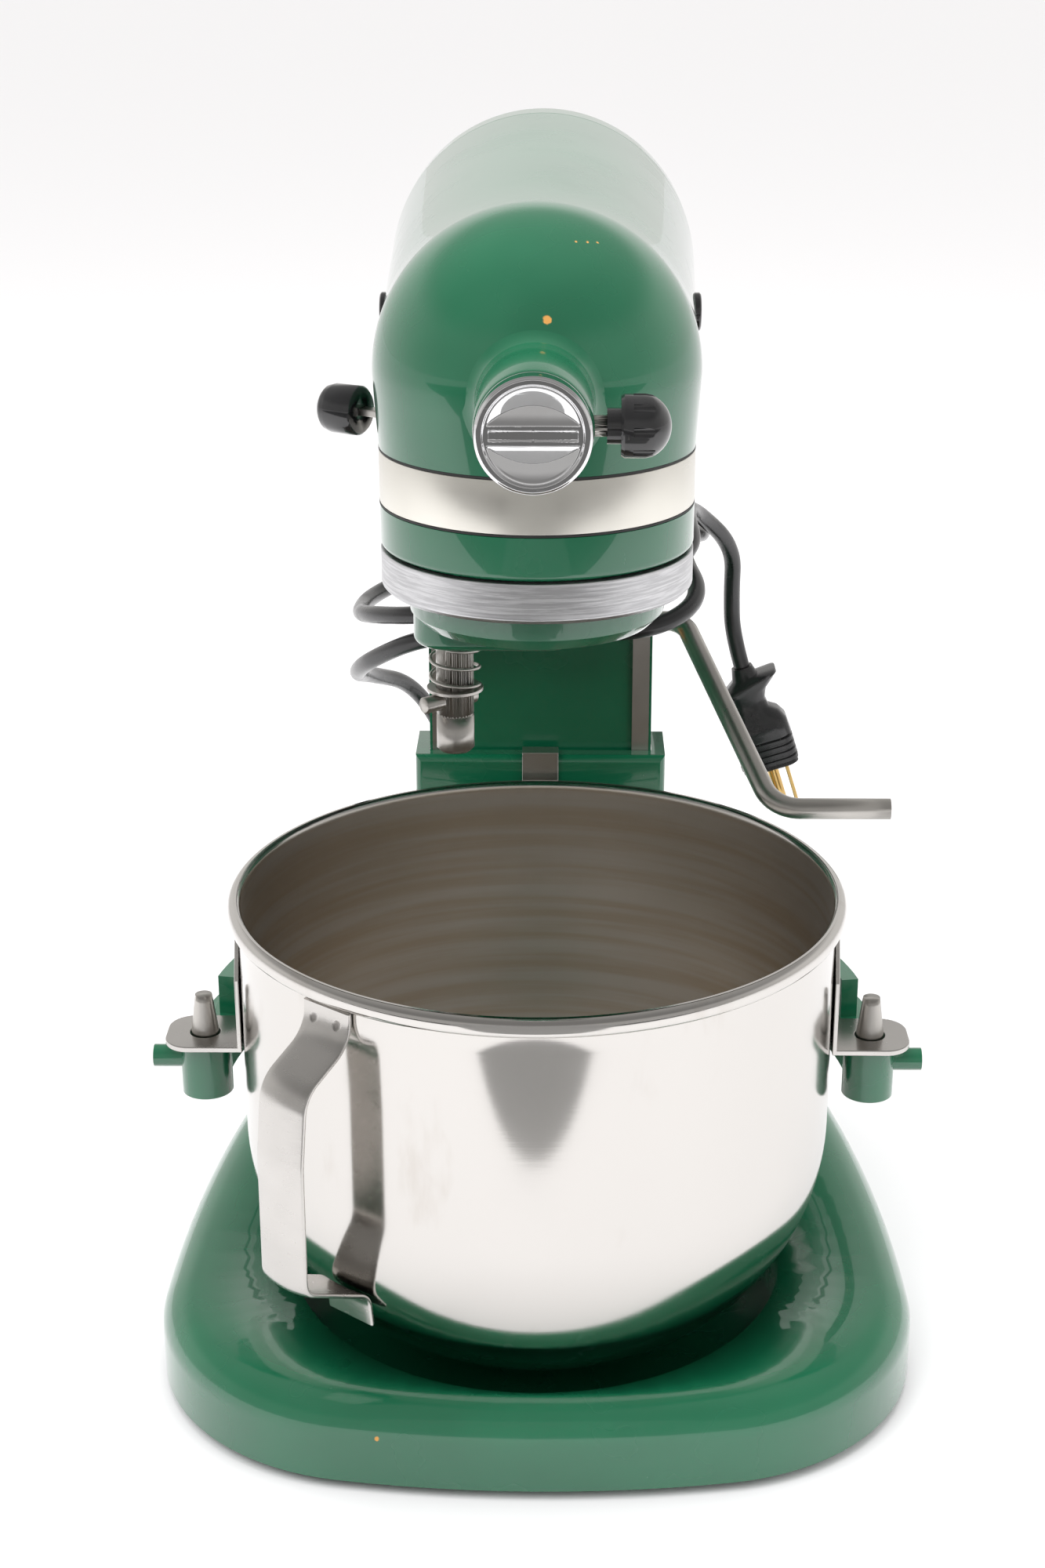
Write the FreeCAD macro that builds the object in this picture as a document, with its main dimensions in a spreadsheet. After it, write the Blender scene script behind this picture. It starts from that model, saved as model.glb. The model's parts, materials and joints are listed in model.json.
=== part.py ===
"""Bowl-lift stand mixer, built piece by piece as a parametric document.

Pieces are laid out about the mixing axis: X to the right, Y to the back, Z up, millimetres, with the table
at z = 0. Every finished piece is then moved back by axis_y, so that the origin is the middle of the footprint.
"""
import FreeCAD, Part
import math
import os
import Sketcher
from FreeCAD import Placement, Rotation, Vector

doc = FreeCAD.newDocument("StandMixer")
sheet = doc.addObject("Spreadsheet::Sheet", "Sizes")

DRIVING = """
axis_y            -75.6   mixing axis, measured from the origin
gap                 0.3   clearance between pieces that move past each other
run                0.05   radial clearance of a shaft in its bush
wall                  4   thickness of the cast walls
foot_height           4   rubber foot
foot_radius           9
foot_x              100   front feet, from the middle
foot_front_y        -45
foot_rear_x          78
foot_rear_y         175
base_half         134.5   half width of the base at its widest
base_front        101.8   front edge, ahead of the mixing axis
base_rear           228   rear edge, behind the mixing axis
base_top             33   height of the deck
base_front_radius   400
base_corner_x        66   where the front corner begins
base_side_radius    750
base_side_end       165   where the rear corner begins
base_edge            12   rounding of the deck's edge
base_rim              6   wall of the base
recess_radius        88   round recess under the bowl
recess_floor          8
column_half          43
column_front        118
column_rear         210
column_foot_half     50   flare where the column meets the base
column_foot_top      70
column_corner        28   rounding of the rear corners
slideway              7   width of each machined strip
slideway_depth      1.5
head_bottom       301.5   underside of the gear case
band_bottom       315.9
band_top          334.2
band_gap            0.3
band_thick          1.2
case_radius        51.2   nose of the gear case
case_rear_half     57.5
case_rear           212
head_axis           358   height of the motor's axis
head_radius        52.8   of the housing over the mixing axis
head_taper       0.0367   growth of that radius per millimetre backwards
cover_depth          46   of the end cover, behind the case
cover_edge           26
hub_radius         17.5
hub_bore             14
hub_face            -92
hub_bore_end        -50
cap_radius           17
cap_front          -100
knob_y              -85   thumb screw of the hub
stud_radius         3.1
knob_radius         9.2
knob_end           39.6
orbit              27.5   of the beater shaft about the mixing axis
shaft_radius       6.35   beater shaft, where a beater slides on
journal_radius      6.3   the same shaft in its bearings
shaft_bottom        229
arm_bottom          267
arm_top             280
ring_bottom       287.8   aluminium drip ring
ring_top          301.1
ring_radius        51.1
ring_wall           2.5
axle_radius           6   upright centre shaft
pinion_teeth         17
internal_teeth       50
centre_teeth         42
idler_teeth          20
wheel_teeth          20
face_teeth           34
hub_teeth            24
idler_x              22
idler_radius          4
gear_module         1.6
face_module         1.4
motor_shaft           4
bowl_radius         103   outside of the wall
bowl_wall           1.2
bowl_bottom          14
bowl_curve           81   rounding between wall and bottom
bowl_top            179
bead_out            3.6   how far the rolled rim stands out
bead_tall           6.6
handle_angle         39   round the bowl, from the front to the left
handle_out        128.5
handle_top          150
handle_low           80
strip_width          20
strip_thick         1.6
ear_height        120.5
ear_thick             2
ear_half             13
ear_out             131
ear_top             166
pin_x             117.5   bowl locating pins
pin_radius          4.8
pin_tip_radius        3
pin_tip             137
boss_radius           9
boss_bottom         100
stub_end            136
yoke_half          48.4
yoke_front          110
yoke_top          186.6
yoke_bottom         100
yoke_cheek          140   rear edge of the cheeks
latch_half            7
arm_inner           111   curved arms round the bowl
arm_outer           123
lever_radius          4
lever_y             163
lever_z           225.5
grip_y               80
grip_z              177
grip_x               88
grip_end            132
cord_radius         3.4
"""


class Size:
    """A number together with the sheet expression that gives it."""

    def __init__(self, value, text):
        self.value = float(value)
        self.text = text

    def __add__(self, other):
        return Size(self.value + number(other), f"({self.text} + {words(other)})")

    def __radd__(self, other):
        return Size(number(other) + self.value, f"({words(other)} + {self.text})")

    def __sub__(self, other):
        return Size(self.value - number(other), f"({self.text} - {words(other)})")

    def __rsub__(self, other):
        return Size(number(other) - self.value, f"({words(other)} - {self.text})")

    def __mul__(self, other):
        return Size(self.value * number(other), f"({self.text} * {words(other)})")

    __rmul__ = __mul__

    def __truediv__(self, other):
        return Size(self.value / number(other), f"({self.text} / {words(other)})")

    def __neg__(self):
        return Size(-self.value, f"(0 - {self.text})")


def number(size):
    return size.value if isinstance(size, Size) else float(size)


def words(size):
    return size.text if isinstance(size, Size) else f"({size})"


def sine(angle):
    return Size(math.sin(math.radians(number(angle))), f"sin({words(angle)})")


def cosine(angle):
    return Size(math.cos(math.radians(number(angle))), f"cos({words(angle)})")


def root(size):
    return Size(math.sqrt(number(size)), f"sqrt({words(size)})")


class Sheet:
    """The driving sizes by name."""


S = Sheet()
for row, line in enumerate(DRIVING.strip().splitlines(), 1):
    alias, value, *note = line.split(maxsplit=2)
    sheet.set(f"A{row}", alias)
    sheet.set(f"B{row}", value)
    sheet.setAlias(f"B{row}", alias)
    if note:
        sheet.set(f"C{row}", note[0])
    setattr(S, alias, Size(float(value), f"Sizes.{alias}"))
doc.recompute()

TURNS = {
    "z": Rotation(),
    "y": Rotation(Vector(1, 0, 0), -90),
    "-y": Rotation(Vector(1, 0, 0), 90),
    "x": Rotation(Vector(0, 1, 0), 90),
    "-x": Rotation(Vector(0, 1, 0), -90),
}
finished = []


def bind(thing, path, size):
    """Sets one property from a size, and ties it to the sheet when the size comes from there."""
    if isinstance(size, Size):
        thing.setExpression(path, size.text)


def place(thing, at=(0, 0, 0), turn=Rotation()):
    thing.Placement = Placement(Vector(*[number(c) for c in at]), turn)
    for axis, size in zip("xyz", at):
        bind(thing, f"Placement.Base.{axis}", size)
    return thing


def name_piece(thing, label, at=(0, 0, 0), turn=Rotation()):
    """Finishes a piece: its label, and its place moved back to the row's origin."""
    thing.Label = label
    place(thing, (at[0], S.axis_y + at[1], at[2]), turn)
    finished.append(thing)
    return thing


def arc_between(start, end, radius):
    """The minor arc from start to end: a positive radius turns left, a negative one right."""
    chord = end - start
    middle = (start + end) * 0.5
    left = Vector(-chord.y, chord.x, 0).normalize()
    rise = math.sqrt(max(radius * radius - chord.Length * chord.Length / 4, 0))
    centre = middle + left * (rise if radius > 0 else -rise)
    first, last = (start, end) if radius > 0 else (end, start)
    angles = [math.atan2(p.y - centre.y, p.x - centre.x) for p in (first, last)]
    circle = Part.Circle(centre, Vector(0, 0, 1), abs(radius))
    return Part.ArcOfCircle(circle, angles[0], angles[1])


class Piece:
    """One body, cut and built up feature by feature."""

    def __init__(self, label):
        self.body = doc.addObject("PartDesign::Body", label.title().replace("_", ""))
        self.body.Label = label + "_body"
        self.label = label

    def plane(self, role):
        return next(f for f in self.body.Origin.OriginFeatures if f.Role == role)

    def sketch(self, plane, outlines, offset=0):
        """A sketch of closed outlines: a circle, or corners (x, y) and (x, y, radius of the arc to here)."""
        sketch = self.body.newObject("Sketcher::SketchObject", self.body.Name + "Sketch")
        sketch.AttachmentSupport = (self.plane(plane + "_Plane"), "")
        sketch.MapMode = "FlatFace"
        sketch.AttachmentOffset = Placement(Vector(0, 0, number(offset)), Rotation())
        bind(sketch, "AttachmentOffset.Base.z", offset)
        for outline in outlines:
            if outline[0] == "circle":
                self.draw_circle(sketch, *outline[1:])
            else:
                self.draw_outline(sketch, outline)
        return sketch

    def pin_point(self, sketch, geometry, end, x, y):
        for kind, size, axis in (("DistanceX", x, -2), ("DistanceY", y, -1)):
            if number(size) == 0:
                sketch.addConstraint(Sketcher.Constraint("PointOnObject", geometry, end, axis))
                continue
            held = sketch.addConstraint(Sketcher.Constraint(kind, -1, 1, geometry, end, number(size)))
            bind(sketch, f"Constraints[{held}]", size)

    def draw_circle(self, sketch, x, y, radius):
        circle = Part.Circle(Vector(number(x), number(y), 0), Vector(0, 0, 1), number(radius))
        drawn = sketch.addGeometry(circle)
        self.pin_point(sketch, drawn, 3, x, y)
        held = sketch.addConstraint(Sketcher.Constraint("Radius", drawn, number(radius)))
        bind(sketch, f"Constraints[{held}]", radius)

    def draw_outline(self, sketch, corners):
        drawn = []
        for corner, following in zip(corners, corners[1:] + corners[:1]):
            start, end = (Vector(number(c[0]), number(c[1]), 0) for c in (corner, following))
            if len(following) == 2:
                drawn.append((sketch.addGeometry(Part.LineSegment(start, end)), 1, 2))
                continue
            radius = following[2]
            arc = sketch.addGeometry(arc_between(start, end, number(radius)))
            held = sketch.addConstraint(Sketcher.Constraint("Radius", arc, abs(number(radius))))
            bind(sketch, f"Constraints[{held}]", radius if number(radius) > 0 else -radius)
            drawn.append((arc, 1, 2) if number(radius) > 0 else (arc, 2, 1))
        for (one, _, one_end), (other, other_start, _) in zip(drawn, drawn[1:] + drawn[:1]):
            sketch.addConstraint(Sketcher.Constraint("Coincident", one, one_end, other, other_start))
        for (line, start, _), corner in zip(drawn, corners):
            self.pin_point(sketch, line, start, corner[0], corner[1])

    def feature(self, kind, name, **settings):
        made = self.body.newObject("PartDesign::" + kind, self.body.Name + name)
        for key, setting in settings.items():
            setattr(made, key, setting)
        self.body.Tip = made
        return made

    def slab(self, kind, plane, low, high, outlines, **settings):
        """A pad or pocket of the outlines between two heights along the plane's axis."""
        offset = -high if plane == "XZ" else low
        made = self.feature(kind, kind, Profile=self.sketch(plane, outlines, offset), **settings)
        made.Length = number(high) - number(low)
        bind(made, "Length", high - low)
        return self

    def pad(self, plane, low, high, *outlines):
        return self.slab("Pad", plane, low, high, list(outlines))

    def cut(self, plane, low, high, *outlines):
        before = self.volume()
        self.slab("Pocket", plane, low, high, list(outlines), Reversed=True)
        if not self.volume() < before:
            raise RuntimeError(f"a pocket of {self.label} cuts nothing")
        return self

    def turn(self, profile, kind="Revolution", angle=360, backwards=False):
        """Revolves a profile of (radius, height) corners about the body's Z axis."""
        sketch = self.sketch("XZ", [profile])
        made = self.feature(kind, kind, Profile=sketch, Angle=angle, Reversed=backwards)
        made.ReferenceAxis = (sketch, ["V_Axis"])
        return self

    def groove(self, profile):
        before = self.volume()
        self.turn(profile, "Groove")
        if not self.volume() < before:
            raise RuntimeError(f"a groove of {self.label} cuts nothing")
        return self

    def loft(self, kind, sections):
        """A loft through (y, outline) sections that stand across the Y axis."""
        sketches = [self.sketch("XZ", [outline], -y) for y, outline in sections]
        self.feature(kind, "Loft", Profile=sketches[0], Sections=sketches[1:], Ruled=True)
        return self

    def around(self, count, axis="Z_Axis"):
        """Repeats the last feature round the body's axis."""
        last = self.body.Tip
        made = self.feature("PolarPattern", "Pattern", Originals=[last], Angle=360)
        made.Axis = (self.plane(axis), [""])
        made.Occurrences = int(number(count))
        bind(made, "Occurrences", count)
        self.body.Tip = made
        return self

    def mirror(self, role="YZ_Plane"):
        last = self.body.Tip
        self.feature("Mirrored", "Mirror", Originals=[last], MirrorPlane=(self.plane(role), [""]))
        return self

    def round(self, size, wanted):
        """Rounds the edges that the test picks."""
        doc.recompute()
        base = self.body.Tip
        edges = [f"Edge{i}" for i, edge in enumerate(base.Shape.Edges, 1) if wanted(edge)]
        if not edges:
            raise RuntimeError(f"no edge of {self.label} to finish")
        made = self.feature("Fillet", "Fillet", Base=(base, edges), Radius=number(size))
        bind(made, "Radius", size)
        return self

    def volume(self):
        doc.recompute()
        return self.body.Tip.Shape.Volume

    def done(self, at=(0, 0, 0), turn=Rotation()):
        return name_piece(self.body, self.label, at, turn)

    def part_of(self, at=(0, 0, 0), turn=Rotation()):
        """Placed about the mixing axis, to be one solid of a group."""
        return place(self.body, at, turn)


def turned(label, profile, at=(0, 0, 0), axis="z"):
    return Piece(label).turn(profile).done(at, TURNS[axis])


def ring_profile(inner, outer, low, high):
    return [(inner, low), (outer, low), (outer, high), (inner, high)]


def group(label, pieces):
    """Several solids in one piece: identical fasteners, feet, brushes."""
    made = doc.addObject("Part::Compound", label.title().replace("_", ""))
    made.Links = pieces
    return name_piece(made, label)


def rings(label, profile, places):
    """The same turned solid at several places, each (at, axis)."""
    solids = []
    for index, (at, axis) in enumerate(places, 1):
        solids.append(Piece(f"{label}_{index}").turn(profile).part_of(at, TURNS[axis]))
    return group(label, solids)


def box(x, y, across, deep):
    """Corners of a rectangle centred on x, y."""
    return [(x - across / 2, y - deep / 2), (x + across / 2, y - deep / 2),
            (x + across / 2, y + deep / 2), (x - across / 2, y + deep / 2)]


def rectangle(left, front, right, back):
    return [(left, front), (right, front), (right, back), (left, back)]


def dome_radius(half, rise):
    """Radius of the round end that rises by rise over a circle of radius half."""
    return (half * half + rise * rise) / (2 * rise)


def level(height):
    """Picks the edges that lie at one height."""
    return lambda edge: all(abs(v.Z - number(height)) < 0.01 for v in edge.Vertexes)


def upright(reach):
    """Picks the upright edges further back than reach."""
    def wanted(edge):
        low, high = edge.Vertexes[0], edge.Vertexes[-1]
        straight = abs(low.X - high.X) < 0.01 and abs(low.Y - high.Y) < 0.01
        return straight and low.Y > number(reach) and abs(low.Z - high.Z) > 1
    return wanted


def bent_path(points, radii):
    """Straight runs joined by tangent arcs: radii holds one for each inner point."""
    edges, here = [], points[0]
    for before, corner, after, radius in zip(points, points[1:], points[2:], radii):
        back, ahead = (before - corner).normalize(), (after - corner).normalize()
        turn = math.pi - back.getAngle(ahead)
        reach = radius * math.tan(turn / 2)
        inward = (back + ahead).normalize()
        nearest = radius / math.cos(turn / 2) - radius
        edges.append(Part.LineSegment(here, corner + back * reach).toShape())
        arc = Part.Arc(corner + back * reach, corner + inward * nearest, corner + ahead * reach)
        edges.append(arc.toShape())
        here = corner + ahead * reach
    edges.append(Part.LineSegment(here, points[-1]).toShape())
    return Part.Wire(edges)


def swept_rod(points, radii, radius):
    path = bent_path(points, radii)
    start = points[1] - points[0]
    section = Part.Wire(Part.Circle(points[0], start, radius).toShape())
    return path.makePipeShell([section], True, False), path


def coded(label, shape, at=(0, 0, 0), turn=Rotation()):
    """A piece whose shape is a sweep made in code, from sizes read from the sheet."""
    made = doc.addObject("Part::Feature", label.title().replace("_", ""))
    made.Shape = shape
    return name_piece(made, label, at, turn)


# ---------------------------------------------------------------- base and column

def base_outline(inset):
    """Plan of the base, drawn in by inset: bowed front, wide corners, sides that close to the rear."""
    front_turn = Size(math.degrees(math.asin(S.base_corner_x.value / S.base_front_radius.value)),
                      "asin(Sizes.base_corner_x / Sizes.base_front_radius)")
    corner = (S.base_half - S.base_corner_x) / (1 - sine(front_turn))
    corner_x = S.base_half - corner
    corner_y = S.base_front_radius - S.base_front - (S.base_front_radius - corner) * cosine(front_turn)
    side_x = S.base_half - S.base_side_radius
    side_rise = (S.base_side_end.value - corner_y.value) / S.base_side_radius.value
    side_turn = Size(math.degrees(math.asin(side_rise)),
                     f"asin((Sizes.base_side_end - {corner_y.text}) / Sizes.base_side_radius)")
    rear = (S.base_rear - S.base_side_end) / (1 - sine(side_turn))
    rear_x = side_x + (S.base_side_radius - rear) * cosine(side_turn)
    rear_y = S.base_rear - rear
    radii = (S.base_front_radius, corner, S.base_side_radius, rear)
    front_r, corner_r, side_r, rear_r = (r - inset for r in radii)
    front_x = front_r * sine(front_turn)
    front_y = S.base_front_radius - S.base_front - front_r * cosine(front_turn)
    side_end_x = rear_x + rear_r * cosine(side_turn)
    side_end_y = rear_y + rear_r * sine(side_turn)
    return [
        (front_x, front_y, front_r),
        (S.base_half - inset, corner_y, corner_r),
        (side_end_x, side_end_y, side_r),
        (rear_x, S.base_rear - inset, rear_r),
        (-rear_x, S.base_rear - inset),
        (-side_end_x, side_end_y, rear_r),
        (-(S.base_half - inset), corner_y, side_r),
        (-front_x, front_y, corner_r),
    ]


FEET = [(S.foot_x, S.foot_front_y), (-S.foot_x, S.foot_front_y),
        (S.foot_rear_x, S.foot_rear_y), (-S.foot_rear_x, S.foot_rear_y)]
BOLTS = [(32, 140), (-32, 140), (32, 190), (-32, 190)]


def make_base():
    base = Piece("base")
    base.pad("XY", S.foot_height, S.base_top, base_outline(0))
    base.round(S.base_edge, level(S.base_top))
    base.cut("XY", S.recess_floor, S.base_top + 1, ("circle", 0, 0, S.recess_radius))
    islands = [("circle", 0, 0, S.recess_radius + 5)]
    islands += [("circle", x, y, S.foot_radius + 2) for x, y in FEET]
    pad_half = S.column_foot_half + 2
    islands.append(rectangle(-pad_half, S.column_front - 10, pad_half, S.column_rear + 4))
    base.cut("XY", S.foot_height, S.base_top - S.base_rim, base_outline(S.base_rim), *islands)
    base.cut("XY", S.foot_height, S.base_top + 1, *[("circle", x, y, 3.2) for x, y in BOLTS])
    base.cut("XY", S.foot_height, S.foot_height + 6, *[("circle", x, y, 7) for x, y in BOLTS])
    base.done()
    foot = [(0, 0), (S.foot_radius - 1.5, 0), (S.foot_radius, 1.5), (S.foot_radius, S.foot_height),
            (0, S.foot_height)]
    rings("base_feet", foot, [((x, y, 0), "z") for x, y in FEET])
    head = S.foot_height + 6
    bolt = [(0, head - 5), (5, head - 5), (5, head), (3, head), (3, S.base_top + 18), (0, S.base_top + 18)]
    rings("column_bolts", bolt, [((x, y, 0), "z") for x, y in BOLTS])


def make_column():
    half, front, rear = S.column_half, S.column_front, S.column_rear
    column = Piece("column")
    column.pad("XY", S.base_top, S.head_bottom, rectangle(-half, front, half, rear))
    column.round(S.column_corner, upright(rear - 1))
    flare = [(half - 1, S.base_top), (S.column_foot_half, S.base_top), (half, S.column_foot_top),
             (half - 1, S.column_foot_top)]
    column.pad("XZ", front, rear - S.column_corner, flare)
    column.mirror()
    inner, soft = half - 6, S.column_corner - 6
    column.cut("XY", S.base_top, S.head_bottom - 6, [
        (-inner, front + 6), (inner, front + 6), (inner, rear - 6 - soft), (inner - soft, rear - 6, soft),
        (-inner + soft, rear - 6), (-inner, rear - 6 - soft, soft)])
    strip = half - S.slideway
    column.cut("XZ", front - 1, front + S.slideway_depth,
               rectangle(-strip, S.base_top + 4, strip, S.head_bottom - 0.5))
    column.cut("XZ", front - 1, front + 7, rectangle(1, 108, 15, 172))
    column.cut("YZ", -half - 8, half + 8, ("circle", S.lever_y, S.lever_z, S.lever_radius + 3))
    bosses = [("circle", x, y, 6) for x, y in BOLTS]
    column.pad("XY", S.base_top, S.base_top + 20, *bosses)
    column.cut("XY", S.base_top, S.base_top + 20, *[("circle", x, y, 3) for x, y in BOLTS])
    column.done()
    bush = ring_profile(S.lever_radius + S.run, S.lever_radius + 3, half - 6, half + 1)
    sides = [((0, S.lever_y, S.lever_z), "x"), ((0, S.lever_y, S.lever_z), "-x")]
    rings("lever_bushes", bush, sides)


# ---------------------------------------------------------------- head

def case_outline(inset):
    """Plan of the head: a round nose over the mixing axis and sides that spread to the rear."""
    nose, half, rear = S.case_radius - inset, S.case_rear_half - inset, S.case_rear - inset
    return [(nose, 0, nose), (half, rear), (-half, rear), (-nose, 0), (0, -nose, nose)]


def arch(radius, low_half, low):
    """Section across the housing: a half round over two nearly upright sides."""
    axis = S.head_axis
    return [(low_half, low), (radius, axis), (0, axis + radius, radius), (-radius, axis, radius),
            (-low_half, low)]


def head_radius_at(y):
    return S.head_radius + S.head_taper * y


def idler_y():
    span = (S.centre_teeth + S.idler_teeth) * S.gear_module / 2
    return root(span * span - S.idler_x * S.idler_x)


def make_gear_case():
    floor = S.head_bottom + 5
    lip = S.band_thick + 0.1
    case = Piece("gear_case")
    case.pad("XY", S.head_bottom, S.band_bottom, case_outline(0))
    case.pad("XY", S.band_bottom, S.band_top, case_outline(lip))
    case.cut("XY", floor, S.band_top + 1, case_outline(S.wall + lip))
    case.pad("XY", S.head_bottom, floor + 6, ("circle", 0, 0, 12), ("circle", S.idler_x, idler_y(), 10))
    case.cut("XY", S.head_bottom, floor + 7, ("circle", 0, 0, S.axle_radius + 3))
    case.cut("XY", S.head_bottom + 2, floor + 7, ("circle", S.idler_x, idler_y(), S.idler_radius + S.run))
    case.done()
    low, high = S.head_bottom, floor + 6
    turned("centre_bush", ring_profile(S.axle_radius + S.run, S.axle_radius + 3, low, high))
    band = Piece("trim_band")
    band.pad("XY", S.band_bottom + 0.1, S.band_top, case_outline(0), case_outline(S.band_thick))
    band.done()


def make_housing():
    low, axis, radius = S.band_top + S.band_gap, S.head_axis, S.head_radius
    rear, rear_radius = S.case_rear, head_radius_at(S.case_rear)
    skin = S.wall - 1
    housing = Piece("motor_housing")
    dome = [(S.case_radius, low), (radius, axis), (0, axis + radius, radius),
            (0, axis + radius - skin), (radius - skin, axis, -(radius - skin)), (S.case_radius - skin, low)]
    housing.turn(dome, angle=180, backwards=True)
    housing.loft("AdditiveLoft", [(0, arch(radius, S.case_radius, low)),
                                  (rear, arch(rear_radius, S.case_rear_half, low))])
    inner = [(y, arch(r - skin, half - skin, low - 1)) for y, r, half in (
        (-1, head_radius_at(-1), S.case_radius), (rear + 1, rear_radius, S.case_rear_half))]
    housing.loft("SubtractiveLoft", inner)
    sleeve_end = S.hub_bore_end + 14
    housing.cut("XZ", S.hub_face, sleeve_end, ("circle", 0, axis, S.hub_radius))
    housing.cut("YZ", -(S.head_radius + 6), -(S.case_radius - 6), rectangle(10, low - 1, 37, low + 6.5))
    housing.cut("YZ", -70, 70, ("circle", 110, axis, 7.1))
    housing.done()
    sleeve = Piece("hub_sleeve")
    sleeve.pad("XZ", S.hub_face, sleeve_end, ("circle", 0, axis, S.hub_radius))
    sleeve.cut("XZ", S.hub_face - 1, S.hub_bore_end, ("circle", 0, axis, S.hub_bore))
    sleeve.cut("XZ", S.hub_bore_end - 1, sleeve_end + 1, ("circle", 0, axis, S.axle_radius + 4))
    sleeve.cut("YZ", S.hub_bore - 2, S.hub_radius + 1, ("circle", S.knob_y, axis, S.stud_radius + S.run))
    sleeve.done()
    turned("hub_bush", ring_profile(S.axle_radius + S.run, S.axle_radius + 4, S.hub_bore_end, sleeve_end),
           (0, 0, axis), "y")


def make_end_cover():
    low, axis, front = S.head_bottom, S.head_axis, S.case_rear + S.band_gap
    radius, rear = head_radius_at(S.case_rear), S.case_rear + S.cover_depth
    cover = Piece("end_cover")
    cover.pad("XZ", front, rear, arch(radius, S.case_rear_half, low))
    cover.round(S.cover_edge, lambda edge: all(v.Y > rear.value - 0.01 for v in edge.Vertexes))
    inner = rear - 20
    cover.cut("XZ", front - 1, inner, arch(radius - 8, S.case_rear_half - 8, low + 8))
    cover.pad("XZ", inner - 20, inner, ("circle", 0, axis, 15))
    cover.cut("XZ", inner - 20, inner - 6, ("circle", 0, axis, 11))
    vents = [rectangle(-24, axis - 34 + 6 * i, 24, axis - 31 + 6 * i) for i in range(4)]
    cover.cut("XZ", inner - 1, rear + 1, *vents)
    screw_head = rear - 2
    cover.cut("XZ", inner - 1, rear + 1, ("circle", 0, axis + 30, 2.2))
    cover.cut("XZ", screw_head, rear + 1, ("circle", 0, axis + 30, 4.3))
    cover.done()
    screw = [(0, -14), (2.1, -14), (2.1, 0), (4, 0), (3.2, 2), (0, 2)]
    turned("end_cover_screw", screw, (0, screw_head + 0.02, axis + 30), "y")


def make_hub_front():
    axis = S.head_axis
    cap = Piece("hub_cap")
    depth = -(S.cap_front - S.hub_face) - S.gap
    cap.turn([(0, 0), (S.cap_radius - 0.6, 0), (S.cap_radius, 0.8), (S.cap_radius, depth - 1.6),
              (S.cap_radius - 1.6, depth), (S.cap_radius - 3, depth), (S.cap_radius - 3.6, depth - 0.8),
              (0, depth - 0.8)])
    deep = depth - 3.4
    hollow = S.cap_radius - 4.4
    drop = root(hollow * hollow - 5.29)
    for side in (1, -1):
        curve = hollow if side > 0 else -hollow
        cap.cut("XY", deep, depth + 1, [(drop, side * 2.3), (-drop, side * 2.3, curve)])
    cap.done((0, S.hub_face - S.gap, axis), TURNS["-y"])
    stud = [(0, S.hub_bore + 0.5), (S.stud_radius, S.hub_bore + 0.5), (S.stud_radius, 21), (0, 21)]
    turned("hub_stud", stud, (0, S.knob_y, axis), "x")
    knob = Piece("hub_knob")
    knob.turn([(0, 21), (5.2, 21), (5.2, 25), (8.6, 25), (S.knob_radius, 26), (S.knob_radius, 32),
               (S.knob_radius - 0.4, 34), (0, S.knob_end, dome_radius(S.knob_radius - 0.4, S.knob_end - 34))])
    knob.cut("XY", 28.5, S.knob_end + 1, ("circle", S.knob_radius + 0.9, 0, 1.7))
    knob.around(8)
    knob.done((0, S.knob_y, axis), TURNS["x"])


def make_speed_control():
    pivot = (-36, 21, S.band_top + 3.3)
    turn = Rotation(Vector(0, 0, 1), 152)
    half = 1.2
    lever = Piece("speed_lever")
    lever.pad("XY", -half, half, [(0, -4), (26.4, -2.4), (26.4, 2.4), (0, 4)])
    lever.pad("XY", -half, half, ("circle", 0, 0, 6))
    lever.done(pivot, turn)
    knob = Piece("speed_knob")
    knob.turn([(0, 26), (7.2, 26), (8.3, 27.1), (8.3, 36.5), (7.6, 39), (0, 42.5, dome_radius(7.6, 3.5))])
    knob.cut("XY", 25, 33, rectangle(-1.35, -2.6, 1.35, 2.6))
    knob.done(pivot, turn * Rotation(Vector(0, 1, 0), 90))


# ---------------------------------------------------------------- gears

def spur_gear(label, teeth, module, low, high, bore=None, hub=None, spread=0.42):
    """A spur gear with straight-sided teeth, thin enough to leave backlash."""
    pitch = teeth * module / 2
    rim, tip = pitch - module * 1.05, pitch + module * 0.8
    gear = Piece(label)
    gear.pad("XY", low, high, ("circle", 0, 0, rim))
    foot, crown = module * math.pi * spread * 0.62, module * math.pi * spread * 0.32
    gear.pad("XY", low, high, [(rim - 0.6, -foot), (tip, -crown), (tip, crown), (rim - 0.6, foot)])
    gear.around(teeth)
    if hub:
        gear.pad("XY", hub[0], hub[1], ("circle", 0, 0, hub[2]))
    if bore:
        gear.cut("XY", low - 20, high + 20, ("circle", 0, 0, bore))
    return gear


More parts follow.
